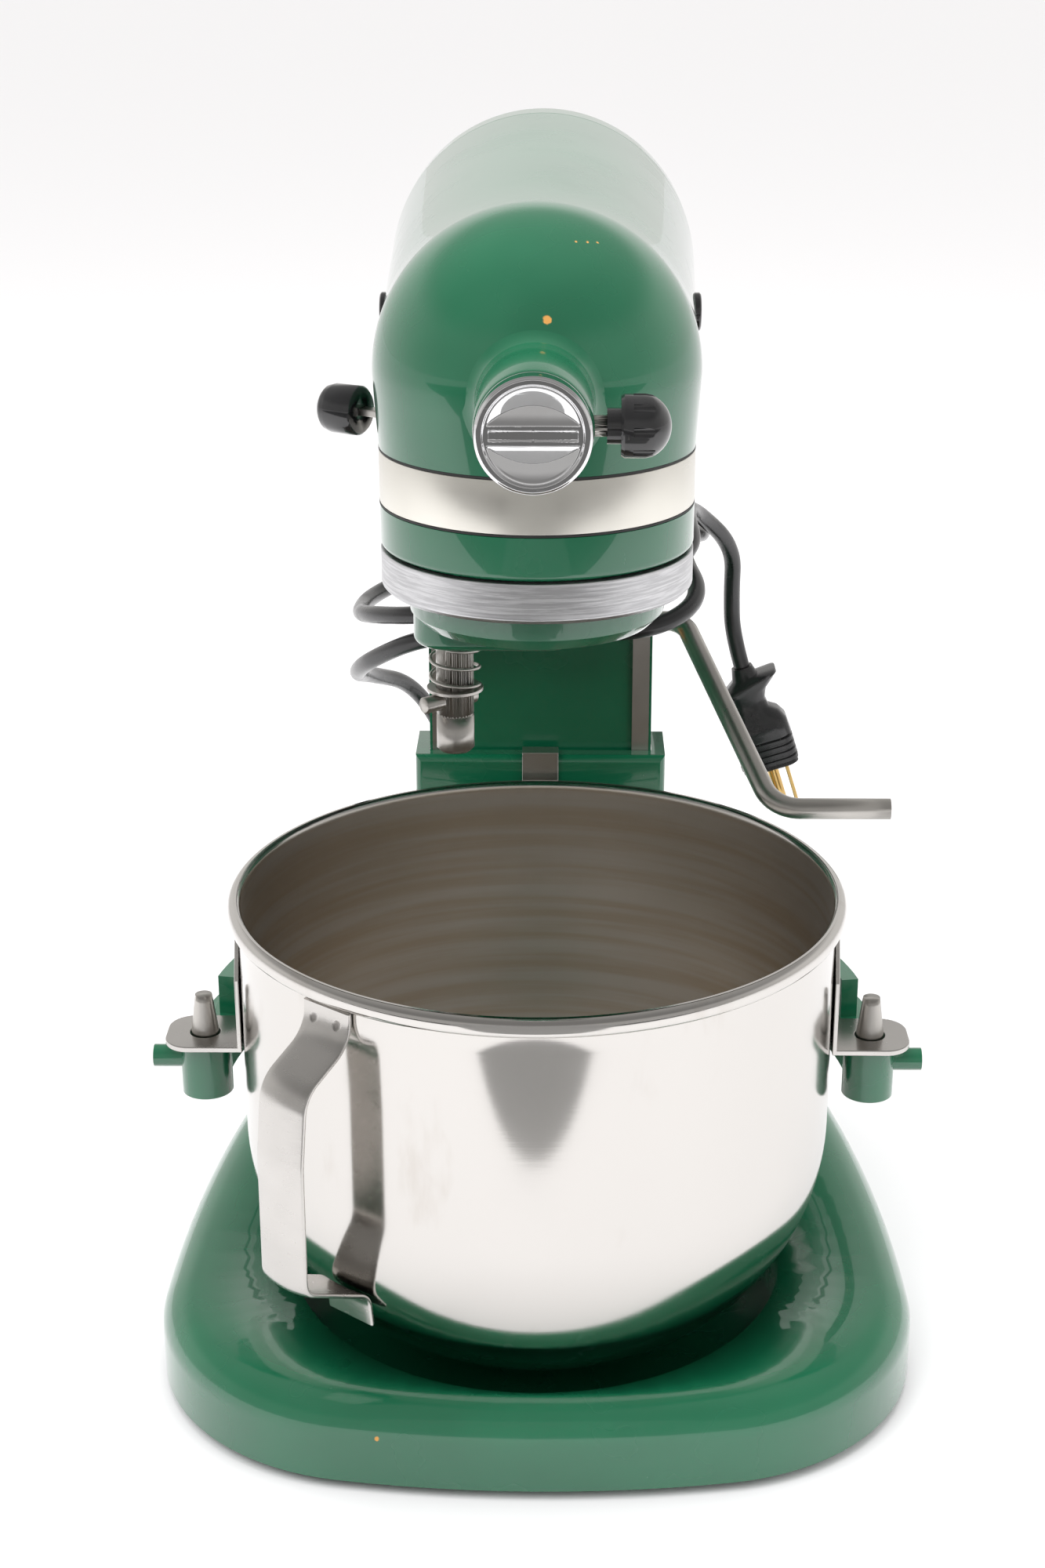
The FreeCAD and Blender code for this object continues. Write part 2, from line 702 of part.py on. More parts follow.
def make_planetary():
    orbit, shaft, axle = S.orbit, S.shaft_radius, S.axle_radius
    disc_top = S.ring_bottom + 6.2
    carrier = Piece("planetary_carrier")
    rim = S.ring_radius - S.ring_wall
    carrier.turn([(0, S.arm_top - 4), (38, S.arm_top - 4), (42, S.arm_top), (43, S.ring_bottom + 0.4),
                  (rim, S.ring_bottom + 0.4), (rim, disc_top), (0, disc_top)])
    carrier.pad("XY", disc_top, S.head_bottom - 0.5, ("circle", 0, 0, 11))
    left, right, half = -(orbit + 0.5), 2, 13
    carrier.pad("XY", S.arm_bottom, S.arm_top, [
        (right, half), (left, half), (left - half, 0, half), (left, -half, half), (right, -half),
        (right + half, 0, half), (right, half, half)][1:])
    carrier.round(3, level(S.arm_bottom))
    carrier.cut("XY", S.arm_bottom - 1, disc_top + 8, ("circle", 0, 0, axle))
    carrier.cut("XY", S.arm_bottom - 1, disc_top + 1, ("circle", -orbit, 0, shaft + 1))
    carrier.cut("XY", S.arm_bottom + 3, disc_top + 1, ("circle", -orbit, 0, 11))
    carrier.done()
    turned("drip_ring", [(rim, S.ring_bottom + 2), (S.ring_radius - 1.5, S.ring_bottom),
                         (S.ring_radius, S.ring_bottom + 1.5), (S.ring_radius, S.ring_top), (rim, S.ring_top)])
    journal = S.journal_radius
    bearing = ring_profile(journal + S.run, 11, S.arm_bottom + 3, S.arm_bottom + 11)
    upper = ring_profile(journal + S.run, 11, disc_top - 8, disc_top)
    pieces = [Piece(f"beater_bearings_{index}").turn(profile).part_of((-orbit, 0, 0))
              for index, profile in enumerate((bearing, upper))]
    group("beater_bearings", pieces)
    face_plane = S.head_axis - S.hub_teeth * S.face_module / 2
    turned("centre_shaft", [(0, S.arm_bottom + 1), (axle, S.arm_bottom + 1), (axle, face_plane + 2),
                            (0, face_plane + 2)])
    low = S.head_bottom + 17
    spur_gear("centre_gear", S.centre_teeth, S.gear_module, low, low + 8, axle,
              hub=(low - 5, low, 11)).done()
    mean = S.face_teeth * S.face_module / 2
    root_plane = face_plane - S.face_module * 1.1
    face = Piece("hub_drive_gear")
    face.pad("XY", root_plane - 5, root_plane, ("circle", 0, 0, mean + 4))
    half = S.face_module * math.pi * 0.1
    face.pad("XY", root_plane - 0.5, face_plane + S.face_module * 0.2,
             rectangle(mean - 3, -half, mean + 3, half))
    face.around(S.face_teeth)
    face.pad("XY", low + 8.2, root_plane - 5, ("circle", 0, 0, 11))
    face.cut("XY", low, face_plane + 9, ("circle", 0, 0, axle))
    face.done()
    return disc_top


def make_ring_gear():
    """The fixed internal gear: a disc with tooth gaps cut round its hole."""
    module = 2 * S.orbit / (S.internal_teeth - S.pinion_teeth)
    pitch = S.internal_teeth * module / 2
    bottom, top = S.ring_top - 6.1, S.head_bottom
    gear = Piece("ring_gear")
    gear.pad("XY", bottom, top, ("circle", 0, 0, S.ring_radius - S.ring_wall - 1.2))
    tip = pitch - module * 0.8
    gear.cut("XY", bottom - 1, top + 1, ("circle", 0, 0, tip))
    wide, narrow = module * 0.92, module * 0.62
    depth = pitch + module * 1.05
    gap = [(tip - 1, -wide), (depth, -narrow), (depth, narrow), (tip - 1, wide)]
    gear.cut("XY", bottom - 1, top + 1, gap)
    gear.around(S.internal_teeth)
    gear.done()
    return module


def make_beater(module, disc_top):
    orbit, shaft, journal = S.orbit, S.shaft_radius, S.journal_radius
    at = (-orbit, 0, 0)
    top = S.ring_top - 0.4
    seat = S.shaft_bottom + 12.5
    turned("beater_shaft", [(0, S.shaft_bottom), (shaft - 1.2, S.shaft_bottom), (shaft, S.shaft_bottom + 1.2),
                            (shaft, seat), (shaft - 0.3, seat), (shaft - 0.3, seat + 1), (journal, seat + 1),
                            (journal, top), (0, top)], at)
    pinion = spur_gear("beater_pinion", S.pinion_teeth, module, disc_top + 0.8, top, journal)
    pinion.done(at, Rotation(Vector(0, 0, 1), 180))
    pin_z = S.shaft_bottom + 18
    pin = Piece("beater_pin").turn([(0, -8), (2.4, -8), (2.8, -7.6), (2.8, 12.6), (2.4, 13), (0, 13)])
    pin.done((-orbit, 0, pin_z), Rotation(Vector(0, 0, 1), 218) * Rotation(Vector(0, 1, 0), 90))
    washer_z = pin_z + 3.3
    turned("beater_washer", ring_profile(journal + 0.1, 9.5, washer_z, washer_z + 1.2), at)
    height = S.arm_bottom.value - washer_z.value - 1.6
    coil_radius = shaft.value + 1.7
    turns = 3
    helix = Part.makeHelix(height / turns, height - 1.2, coil_radius)
    wire_radius, sides = 0.75, 10
    corners = [Vector(coil_radius + wire_radius * math.cos(a), 0, wire_radius * math.sin(a))
               for a in (2 * math.pi * i / sides for i in range(sides))]
    section = Part.makePolygon(corners + corners[:1])
    spring = Part.Wire(helix.Edges).makePipeShell([section], True, True)
    coded("beater_spring", spring, (-orbit, 0, washer_z + 1.95))


def make_motor():
    axis = S.head_axis
    at = (0, 0, axis)
    shaft = S.motor_shaft
    wheel = spur_gear("worm_wheel", S.wheel_teeth, S.gear_module, S.head_axis - 5, S.head_axis + 5,
                      S.idler_radius, spread=0.36)
    wheel.done((S.idler_x, idler_y(), 0), Rotation(Vector(0, 0, 1), 9))
    low = S.head_bottom + 17
    idler = spur_gear("idler_pinion", S.idler_teeth, S.gear_module, low - 0.5, low + 8.5)
    idler.pad("XY", S.head_bottom + 2.2, axis + 12.8, ("circle", 0, 0, S.idler_radius))
    toward = math.degrees(math.atan2(idler_y().value, S.idler_x.value))
    pitch_angle = 360 / S.idler_teeth.value
    centre_pitch = 360 / S.centre_teeth.value
    phase = toward % centre_pitch
    turn = toward + 180 + pitch_angle / 2 + phase * S.centre_teeth.value / S.idler_teeth.value
    idler.done((S.idler_x, idler_y(), 0), Rotation(Vector(0, 0, 1), turn))
    posts = [(-16, 58), (40, 62)]
    bracket = Piece("worm_bracket")
    bracket.pad("XY", axis + 9.5, axis + 12.5, [(-21, 36), (32, 34), (45, 56), (45, 67), (-21, 67)])
    bracket.pad("XY", S.head_bottom + 5, axis + 10, *[("circle", x, y, 4) for x, y in posts])
    bracket.cut("XY", axis + 9, axis + 13, ("circle", S.idler_x, idler_y(), S.idler_radius + S.run))
    bracket.done()
    turned("armature_shaft", [(0, 26), (shaft, 26), (shaft, 232), (0, 232)], at, "y")
    middle = idler_y().value
    worm_radius = S.idler_x.value - S.wheel_teeth.value * S.gear_module.value / 2
    lead = S.gear_module.value * math.pi
    core = worm_radius - S.gear_module.value * 1.05
    ridge_turns = 4
    start = middle - lead * ridge_turns / 2
    helix = Part.makeHelix(lead, lead * ridge_turns, core - 0.2)
    foot, crown, reach = lead * 0.26, lead * 0.13, S.gear_module.value * 1.75
    corners = [Vector(core - 0.2, 0, -foot), Vector(core + reach, 0, -crown),
               Vector(core + reach, 0, crown), Vector(core - 0.2, 0, foot)]
    section = Part.makePolygon(corners + corners[:1])
    thread = Part.Wire(helix.Edges).makePipeShell([section], True, True)
    barrel = Part.makeCylinder(core, lead * (ridge_turns + 1.6), Vector(0, 0, -lead * 0.8))
    hole = Part.makeCylinder(shaft.value, lead * (ridge_turns + 4), Vector(0, 0, -lead * 2))
    worm = barrel.fuse(thread).cut(hole)
    coded("worm", worm, (0, start, axis), TURNS["y"])
    plate = Piece("bearing_plate")
    inner = head_radius_at(74) - S.wall + 0.9
    plate.pad("XZ", 72, 79, ("circle", 0, 0, inner - 4))
    plate.cut("XZ", 71, 80, ("circle", 0, 0, 11))
    plate.cut("XZ", 71, 80, ("circle", 0, 26, 9))
    plate.around(6, "Y_Axis")
    plate.done(at)
    rings("armature_bearings", ring_profile(shaft + S.run, 11, 0, 7),
          [((0, 72, axis), "y"), ((0, 222, axis), "y")])
    turned("commutator", [(shaft, 100), (11, 100), (11, 118), (13, 118), (13, 121), (shaft, 121)], at, "y")
    core_piece = Piece("armature_core")
    core_piece.turn(ring_profile(shaft, 21, 132, 178))
    core_piece.cut("XY", 131, 179, rectangle(12, -1.6, 22, 1.6))
    core_piece.around(12)
    core_piece.done(at, TURNS["y"])
    fan = Piece("cooling_fan")
    fan.turn(ring_profile(shaft, 30, 194, 196))
    fan.pad("XY", 195, 206, [(11, -1), (29, -1), (29, 1), (11, 1)])
    fan.around(9)
    fan.done(at, TURNS["y"])
    stator = Piece("field_core")
    stator.turn(ring_profile(22, 40, 132, 178))
    stator.cut("XY", 131, 179, rectangle(21, -12, 36, 12))
    stator.mirror()
    stator.done(at, TURNS["y"])
    coils = []
    for index, (front, back) in enumerate(((123, 131.8), (178.2, 187))):
        coil = Piece(f"field_coils_{index}").turn(ring_profile(24, 38, front, back))
        coil.round(3, lambda edge: True)
        coils.append(coil.part_of(at, TURNS["y"]))
    group("field_coils", coils)
    sides = [((0, 110, axis), "x"), ((0, 110, axis), "-x")]
    outer = head_radius_at(110)
    rings("brush_holders", ring_profile(3.1, 7, 15, outer - 3), sides)
    rings("carbon_brushes", [(0, 11.3), (3, 11.3), (3, 30), (0, 30)], sides)
    cap = [(0, outer - 2.8), (6.9, outer - 2.8), (6.9, outer + 0.6), (6.2, outer + 1.2), (0, outer + 1.2)]
    rings("brush_caps", cap, sides)
    hub_axis = (0, 0, axis)
    pinion = spur_gear("hub_pinion", S.hub_teeth, S.face_module, 20, 28, S.axle_radius, None)
    pinion.done(hub_axis, TURNS["-y"])
    socket = Piece("hub_shaft")
    socket.pad("XY", 18.5, 52, ("circle", 0, 0, S.axle_radius))
    socket.pad("XY", 51, 66, ("circle", 0, 0, S.hub_bore - 1), box(0, 0, 9.7, 9.7))
    socket.done(hub_axis, TURNS["-y"])


# ---------------------------------------------------------------- yoke and bowl

def make_yoke():
    half, front, cheek = S.yoke_half, S.yoke_front, S.yoke_cheek
    inside = S.column_half + S.gap
    back = S.column_front - S.gap
    yoke = Piece("yoke")
    yoke.pad("XY", S.yoke_bottom, S.yoke_top, [(-half, front), (half, front), (half, cheek), (inside, cheek),
                                               (inside, back), (-inside, back), (-inside, cheek), (-half, cheek)])
    yoke.round(3, lambda edge: abs(edge.Vertexes[0].Y - front.value) < 0.01
               and abs(edge.Vertexes[-1].Y - front.value) < 0.01 and edge.Length < 200)
    first, last = 20, 88
    ends = [(S.arm_inner, first), (S.arm_outer, first), (S.arm_outer, last), (S.arm_inner, last)]
    corners = [(r * sine(a), r * cosine(a)) for r, a in ends]
    arm = [(*corners[0], S.arm_inner), corners[1], (*corners[2], -S.arm_outer), corners[3]]
    yoke.pad("XY", S.yoke_bottom + 2, S.ear_height - 0.7, arm)
    yoke.mirror()
    rib_end = 80
    ends = [(S.arm_inner, first), (S.arm_inner + 6, first), (S.arm_inner + 6, rib_end),
            (S.arm_inner, rib_end)]
    corners = [(r * sine(a), r * cosine(a)) for r, a in ends]
    rib = [(*corners[0], S.arm_inner), corners[1], (*corners[2], -(S.arm_inner + 6)), corners[3]]
    yoke.pad("XY", S.yoke_bottom + 2, S.ear_height + 14, rib)
    yoke.mirror()
    yoke.pad("XY", S.boss_bottom, S.ear_height - 0.1, ("circle", S.pin_x, 0, S.boss_radius))
    yoke.mirror()
    yoke.pad("YZ", S.pin_x, S.stub_end, ("circle", 0, S.boss_bottom + 13, 4))
    yoke.mirror()
    yoke.cut("XY", S.boss_bottom + 6, S.ear_height, ("circle", S.pin_x, 0, 4))
    yoke.mirror()
    yoke.pad("XY", 118, 130, rectangle(3, back - 1, 6, 140))
    yoke.done()
    foot = S.boss_bottom + 6
    pin = [(0, foot), (4, foot), (4, S.ear_height - 0.1), (S.pin_radius, S.ear_height - 0.1),
           (S.pin_radius, S.ear_height + 3), (S.pin_tip_radius, S.pin_tip), (0, S.pin_tip)]
    rings("bowl_pins", pin, [((S.pin_x, 0, 0), "z"), ((-S.pin_x, 0, 0), "z")])
    latch = Piece("bowl_latch")
    latch.pad("YZ", -S.latch_half, S.latch_half,
              [(front, 150), (front, S.yoke_top + 1), (front + 6, S.yoke_top + 1), (front + 6, S.yoke_top + 2),
               (front - 1.2, S.yoke_top + 2), (front - 1.2, 150)])
    latch.done()
    link = Piece("lift_link")
    link.pad("YZ", 6, 10, [(128, 116), (140, 116), (140, 200), (128, 200)])
    link.cut("YZ", 5, 11, ("circle", 134, 194, 3))
    link.done()


def make_bowl():
    outer, top, bottom = S.bowl_radius, S.bowl_top, S.bowl_bottom
    curve, skin = S.bowl_curve, S.bowl_wall
    flat, lip = outer - curve, outer + S.bead_out
    rim = top - S.bead_tall
    bowl = Piece("bowl")
    bowl.turn([(0, bottom), (flat, bottom), (outer, bottom + curve, curve), (outer, rim + 1),
               (lip - 1, rim + 1), (lip, rim + 2.2), (lip, top - 2), (lip - 2, top), (outer - skin + 1.5, top),
               (outer - skin, top - 1.5), (outer - skin, bottom + curve),
               (flat, bottom + skin, -(curve - skin)), (0, bottom + skin)])
    bowl.done()
    thick, half = S.strip_thick, S.strip_width / 2
    weld = outer + thick / 2 + 0.05
    out = S.handle_out
    inner_low = weld - 4.6
    points = [(weld, rim - 1), (weld, S.handle_top + 14), (out, S.handle_top), (out, S.handle_low),
              (inner_low, S.handle_low - 13), (inner_low - 2.2, S.handle_low - 25)]
    spine = [Vector(number(r), 0, number(z)) for r, z in points]
    path = bent_path(spine, [7, 9, 9, 9])
    edge = [Vector(weld.value - thick.value / 2, -half.value, spine[0].z),
            Vector(weld.value + thick.value / 2, -half.value, spine[0].z),
            Vector(weld.value + thick.value / 2, half.value, spine[0].z),
            Vector(weld.value - thick.value / 2, half.value, spine[0].z)]
    strip = path.makePipeShell([Part.makePolygon(edge + edge[:1])], True, False)
    coded("bowl_handle", strip, turn=Rotation(Vector(0, 0, 1), -90 - S.handle_angle.value))
    ears = []
    for side in (1, -1):
        ear = Piece(f"bowl_ears_{side + 2}")
        wide, low, thin = S.ear_half, S.ear_height, S.ear_thick
        plate = outer + 0.05
        ear.pad("YZ", plate, plate + 1.6, [(-wide, low), (wide, low), (wide, S.ear_top - 18), (5, S.ear_top),
                                           (-5, S.ear_top), (-wide, S.ear_top - 18)])
        ear.pad("XY", low, low + thin, [(plate, -wide), (S.ear_out - 9, -wide), (S.ear_out, -wide + 9, 9),
                                        (S.ear_out, wide - 9), (S.ear_out - 9, wide, 9), (plate, wide)])
        ear.cut("XY", low - 1, low + thin + 1, ("circle", S.pin_x, 0, S.pin_radius + 0.5))
        ears.append(ear.part_of((0, 0, 0), Rotation(Vector(0, 0, 1), 0 if side > 0 else 180)))
    group("bowl_ears", ears)
    tab = Piece("bowl_tab")
    tab.pad("YZ", -12, 12,
            [(outer + 0.25, 132), (outer + 4.6, 132), (outer + 4.6, 144), (outer + 2, 148), (outer + 0.25, 148)])
    tab.done()


def make_lift_lever():
    radius = S.lever_radius.value
    y, z = S.lever_y.value, S.lever_z.value
    points = [Vector(-S.column_half.value - 3, y, z), Vector(57, y, z),
              Vector(S.grip_x.value, S.grip_y.value, S.grip_z.value),
              Vector(S.grip_end.value, S.grip_y.value, S.grip_z.value)]
    rod = doc.addObject("Part::Feature", "LeverRod")
    rod.Shape, _ = swept_rod(points, [9, 14], radius)
    crank = Piece("lift_crank")
    crank.pad("YZ", -3, 3, ("circle", 0, 0, 8))
    crank.pad("YZ", -3, 3, box(-12, 0, 24, 9))
    crank.cut("YZ", -4, 4, ("circle", -19, 0, 2.5))
    welded = doc.addObject("Part::Fuse", "LiftLever")
    welded.Base = rod
    welded.Tool = crank.part_of((0, S.lever_y, S.lever_z), Rotation(Vector(1, 0, 0), 40))
    name_piece(welded, "lift_lever")


# ---------------------------------------------------------------- cord

CORD = [(42, 232, 288), (44, 235, 264), (56, 243, 236), (44, 247, 198), (38, 246, 158), (35, 244, 121),
        (34, 242, 89), (15, 242, 70), (-13, 242, 70), (-32, 242, 89), (-36, 241, 118), (-42, 237, 150),
        (-56, 222, 180), (-72, 190, 194), (-75, 154, 206), (-66, 122, 222), (-43, 101, 238), (-8, 99, 241),
        (24, 97, 240), (48, 99, 243), (62, 119, 249), (55, 150, 256), (58, 178, 257), (68, 202, 252),
        (58, 225, 244), (28, 232, 238), (-12, 229, 235), (-48, 217, 232), (-70, 188, 229), (-73, 156, 231),
        (-66, 125, 239), (-45, 100, 246), (-8, 97, 252), (30, 95, 258), (59, 115, 267), (56, 149, 274),
        (61, 178, 268), (79, 200, 247), (79, 206, 224), (80, 206, 206), (86, 206, 187)]


def make_cord():
    points = [Vector(*p) for p in CORD]
    radii = []
    for before, corner, after in zip(points, points[1:], points[2:]):
        shorter = min((corner - before).Length, (after - corner).Length)
        turn = math.pi - (before - corner).getAngle(after - corner)
        radii.append(0.45 * shorter / math.tan(turn / 2))
    print("cord radii, mm:", [round(r) for r in radii])
    radius = S.cord_radius.value
    tube, path = swept_rod(points, radii, radius)
    share = tube.Volume / (math.pi * radius ** 2 * path.Length)
    print(f"cord length {path.Length:.0f} mm, volume over section times length {share:.4f}")
    coded("power_cord", tube)
    start, end = points[0], points[-1]
    relief = Piece("strain_relief")
    r = S.cord_radius
    relief.turn([(0, 0), (r + 0.8, 0), (r + 3, 14), (r + 5, 14), (r + 5, 17), (0, 17)])
    up = (start - points[1]).normalize()
    relief.done((start.x, start.y, start.z), Rotation(Vector(0, 0, 1), up))
    down = (end - points[-2]).normalize()
    toward = Rotation(Vector(0, 0, 1), down)
    plug = Piece("plug_body")
    plug.pad("XY", 0, 3, [(-13, -8), (13, -8), (13, 8), (-13, 8)])
    plug.pad("XY", 3, 18, [(-8, -7), (8, -7), (8, 7), (-8, 7)])
    plug.pad("XY", 18, 40, [(-12.5, -9.5), (12.5, -9.5), (12.5, 9.5), (-12.5, 9.5)])
    plug.done((end.x, end.y, end.z), toward)
    solids = []
    for index, x in enumerate((-6.35, 6.35)):
        blade = Piece(f"plug_blades_{index}")
        blade.pad("XY", 40, 57, box(x, -3, 1.5, 6.3))
        solids.append(blade.part_of((end.x, end.y, end.z), toward))
    ground = Piece("plug_blades_2").pad("XY", 40, 60, ("circle", 0, 5.5, 2.4))
    solids.append(ground.part_of((end.x, end.y, end.z), toward))
    group("plug_blades", solids)


make_base()
make_column()
make_gear_case()
make_housing()
make_end_cover()
make_hub_front()
make_speed_control()
carrier_top = make_planetary()
tooth_module = make_ring_gear()
make_beater(tooth_module, carrier_top)
make_motor()
make_yoke()
make_bowl()
make_lift_lever()
make_cord()
doc.recompute()

for thing in doc.Objects:
    if {"Invalid", "Error"} & set(thing.State):
        raise RuntimeError(f"{thing.Label} failed: {thing.State}")
labels = [piece.Label for piece in finished]
if len(set(labels)) != len(labels) or len(labels) > 60:
    raise RuntimeError(f"{len(labels)} pieces, {len(set(labels))} names")
for piece in finished:
    if piece.Shape.isNull() or not piece.Shape.isValid() or not piece.Shape.Solids:
        raise RuntimeError(f"{piece.Label} has no sound shape")

os.makedirs("parts", exist_ok=True)
for piece in finished:
    piece.Shape.exportStep(f"parts/{piece.Label}.step")
print(len(finished), "pieces written")
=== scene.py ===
"""Finished look of a bowl-lift stand mixer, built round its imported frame.

Shapes are worked out in millimetres about the mixing axis (x right, y back, z up from the table);
`placed` turns such a point into the frame's metres.
"""
import json
import math

import bmesh
import bpy
from mathutils import Matrix, Vector


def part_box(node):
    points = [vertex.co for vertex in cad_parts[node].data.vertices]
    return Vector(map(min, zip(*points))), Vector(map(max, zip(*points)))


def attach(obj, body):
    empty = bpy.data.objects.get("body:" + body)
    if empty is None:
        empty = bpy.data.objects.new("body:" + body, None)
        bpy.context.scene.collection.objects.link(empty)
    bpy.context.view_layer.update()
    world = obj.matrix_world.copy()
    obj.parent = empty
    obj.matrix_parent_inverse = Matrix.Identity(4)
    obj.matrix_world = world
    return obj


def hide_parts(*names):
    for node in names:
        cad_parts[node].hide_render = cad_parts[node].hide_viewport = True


bl_info = {
    "name": "Stand Mixer",
    "version": (1, 0, 0),
    "blender": (4, 5, 0),
    "location": "3D View > Sidebar > Mixer",
    "description": "Builds the finished pieces of a bowl-lift stand mixer on its frame",
    "category": "Add Mesh",
}

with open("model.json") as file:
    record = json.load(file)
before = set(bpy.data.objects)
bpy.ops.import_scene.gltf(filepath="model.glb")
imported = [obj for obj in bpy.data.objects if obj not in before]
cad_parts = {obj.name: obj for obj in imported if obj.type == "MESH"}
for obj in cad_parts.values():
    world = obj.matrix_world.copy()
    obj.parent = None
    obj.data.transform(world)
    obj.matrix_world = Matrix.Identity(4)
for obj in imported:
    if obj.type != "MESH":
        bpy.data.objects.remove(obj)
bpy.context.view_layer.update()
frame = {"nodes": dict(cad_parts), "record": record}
RECORD = frame["record"]
BODY_OF = {node: body for body, nodes in RECORD["behaviour"]["bodies"].items() for node in nodes}
SLOT_OF = {part["node"]: part["material_slot"] for part in RECORD["subparts"]}
MM = 0.001
MIXING_Y = sum(corner.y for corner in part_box("drip_ring")) / 2


def placed(point):
    """A point in millimetres about the mixing axis, as metres in the frame."""
    return Vector((point[0] * MM, point[1] * MM + MIXING_Y, point[2] * MM))


def span(node):
    """Lowest and highest corner of a frame node, in millimetres about the mixing axis."""
    return [Vector((c.x / MM, (c.y - MIXING_Y) / MM, c.z / MM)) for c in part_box(node)]


HEAD_AXIS = sum(c.z for c in span("hub_stud")) / 2
BAND_LOW, BAND_HIGH = (c.z for c in span("trim_band"))
HEAD_LOW = span("gear_case")[0].z
CASE_REAR = span("gear_case")[1].y
CASE_HALF = span("gear_case")[1].x
NOSE = -span("gear_case")[0].y
COVER_REAR = span("end_cover")[1].y
HEAD_TOP = span("end_cover")[1].z
HUB_FACE = span("hub_cap")[1].y
BOWL_LOW, BOWL_TOP = (c.z for c in span("bowl"))
BEAD = span("bowl")[1].x
BEATER_X = sum(c.x for c in span("beater_shaft")) / 2


class MixerSizes(bpy.types.PropertyGroup):
    """Sizes of the shapes that are finished here, in millimetres."""

    head_radius: bpy.props.FloatProperty(
        name="Head radius", description="Radius of the head over the mixing axis", default=52.8)
    head_ease: bpy.props.FloatProperty(
        name="Head ease", description="Length over which the head starts to widen", default=40)
    skin: bpy.props.FloatProperty(name="Skin", description="Wall of the cast head", default=3)
    hub_radius: bpy.props.FloatProperty(
        name="Hub", description="Outside radius of the hub boss", default=17.5)
    hub_bore: bpy.props.FloatProperty(name="Hub bore", description="Radius of the hub socket", default=14)
    hub_flare: bpy.props.FloatProperty(
        name="Hub flare", description="Fillet where the boss meets the head", default=5)
    bowl_radius: bpy.props.FloatProperty(
        name="Bowl", description="Outside radius of the bowl's wall", default=103)
    bowl_wall: bpy.props.FloatProperty(name="Bowl wall", description="Thickness of the bowl", default=1.2)
    bowl_curve: bpy.props.FloatProperty(
        name="Bowl curve", description="Radius between wall and bottom", default=81)
    bead_tall: bpy.props.FloatProperty(name="Bead", description="Height of the rolled rim", default=6.6)
    strip_width: bpy.props.FloatProperty(
        name="Handle width", description="Width of the handle strip", default=20)
    strip_thick: bpy.props.FloatProperty(
        name="Handle gauge", description="Thickness of the strip", default=1.6)
    handle_angle: bpy.props.FloatProperty(
        name="Handle angle", description="From the front round to the left, in degrees", default=39)
    handle_out: bpy.props.FloatProperty(
        name="Handle reach", description="Radius of the grip", default=128.5)
    handle_top: bpy.props.FloatProperty(
        name="Handle top", description="Height of the grip's top", default=150)
    handle_low: bpy.props.FloatProperty(
        name="Handle low", description="Height of the grip's foot", default=80)
    column_strip: bpy.props.FloatProperty(
        name="Column strip", description="Where the bare slideways start, from the middle", default=35.5)
    cord_radius: bpy.props.FloatProperty(name="Cord", description="Radius of the power cord", default=3.4)
    spring_wire: bpy.props.FloatProperty(
        name="Spring wire", description="Radius of the spring's wire", default=0.62)
    spring_turns: bpy.props.FloatProperty(
        name="Spring turns", description="Turns of the beater spring", default=2.3)


class MixerColours(bpy.types.PropertyGroup):
    """Colours of the finishes."""

    enamel: bpy.props.FloatVectorProperty(
        name="Enamel", description="Colour of the painted castings", subtype="COLOR", size=3,
        default=(0.005, 0.115, 0.052))
    primer: bpy.props.FloatVectorProperty(
        name="Chips", description="Colour that shows where the enamel is chipped", subtype="COLOR", size=3,
        default=(0.62, 0.30, 0.07))
    steel: bpy.props.FloatVectorProperty(
        name="Bowl steel", description="Colour of the bowl", subtype="COLOR", size=3,
        default=(0.61, 0.59, 0.565))
    floor: bpy.props.FloatVectorProperty(
        name="Floor", description="Colour of the floor", subtype="COLOR", size=3, default=(0.86, 0.86, 0.88))


def node_maker(tree):
    """A function that adds a node to the tree: its settings first, then its named sockets."""

    def add(kind, settings=None, **sockets):
        made = tree.nodes.new(kind)
        for key, value in (settings or {}).items():
            setattr(made, key, value)
        for key, value in sockets.items():
            socket = made.inputs[key.replace("_", " ")]
            if isinstance(value, bpy.types.NodeSocket):
                tree.links.new(value, socket)
            else:
                socket.default_value = value
        return made

    return add


# ---------------------------------------------------------------- shapes

def arc(centre_x, centre_y, radius, start, end, steps):
    """Points of an arc, with its angles in degrees."""
    angles = (math.radians(start + (end - start) * i / steps) for i in range(steps + 1))
    return [(centre_x + radius * math.cos(a), centre_y + radius * math.sin(a)) for a in angles]


def softened(corners, closed=True, steps=5):
    """An outline whose corners (x, y, radius) are rounded."""
    points = []
    count = len(corners)
    for i, (x, y, *rest) in enumerate(corners):
        here = Vector((x, y))
        if not rest or not rest[0] or (not closed and i in (0, count - 1)):
            points.append((x, y))
            continue
        back = (Vector(corners[i - 1][:2]) - here).normalized()
        ahead = (Vector(corners[(i + 1) % count][:2]) - here).normalized()
        half = back.angle(ahead) / 2
        reach = rest[0] / math.tan(half)
        centre = here + (back + ahead).normalized() * rest[0] / math.sin(half)
        first, last = here + back * reach - centre, here + ahead * reach - centre
        turn = first.angle_signed(last)
        for step in range(steps + 1):
            arm = Matrix.Rotation(-turn * step / steps, 2) @ first
            points.append(tuple(centre + arm))
    return points


def new_object(name, mesh):
    piece = bpy.data.objects.new(name, mesh)
    bpy.context.scene.collection.objects.link(piece)
    return piece


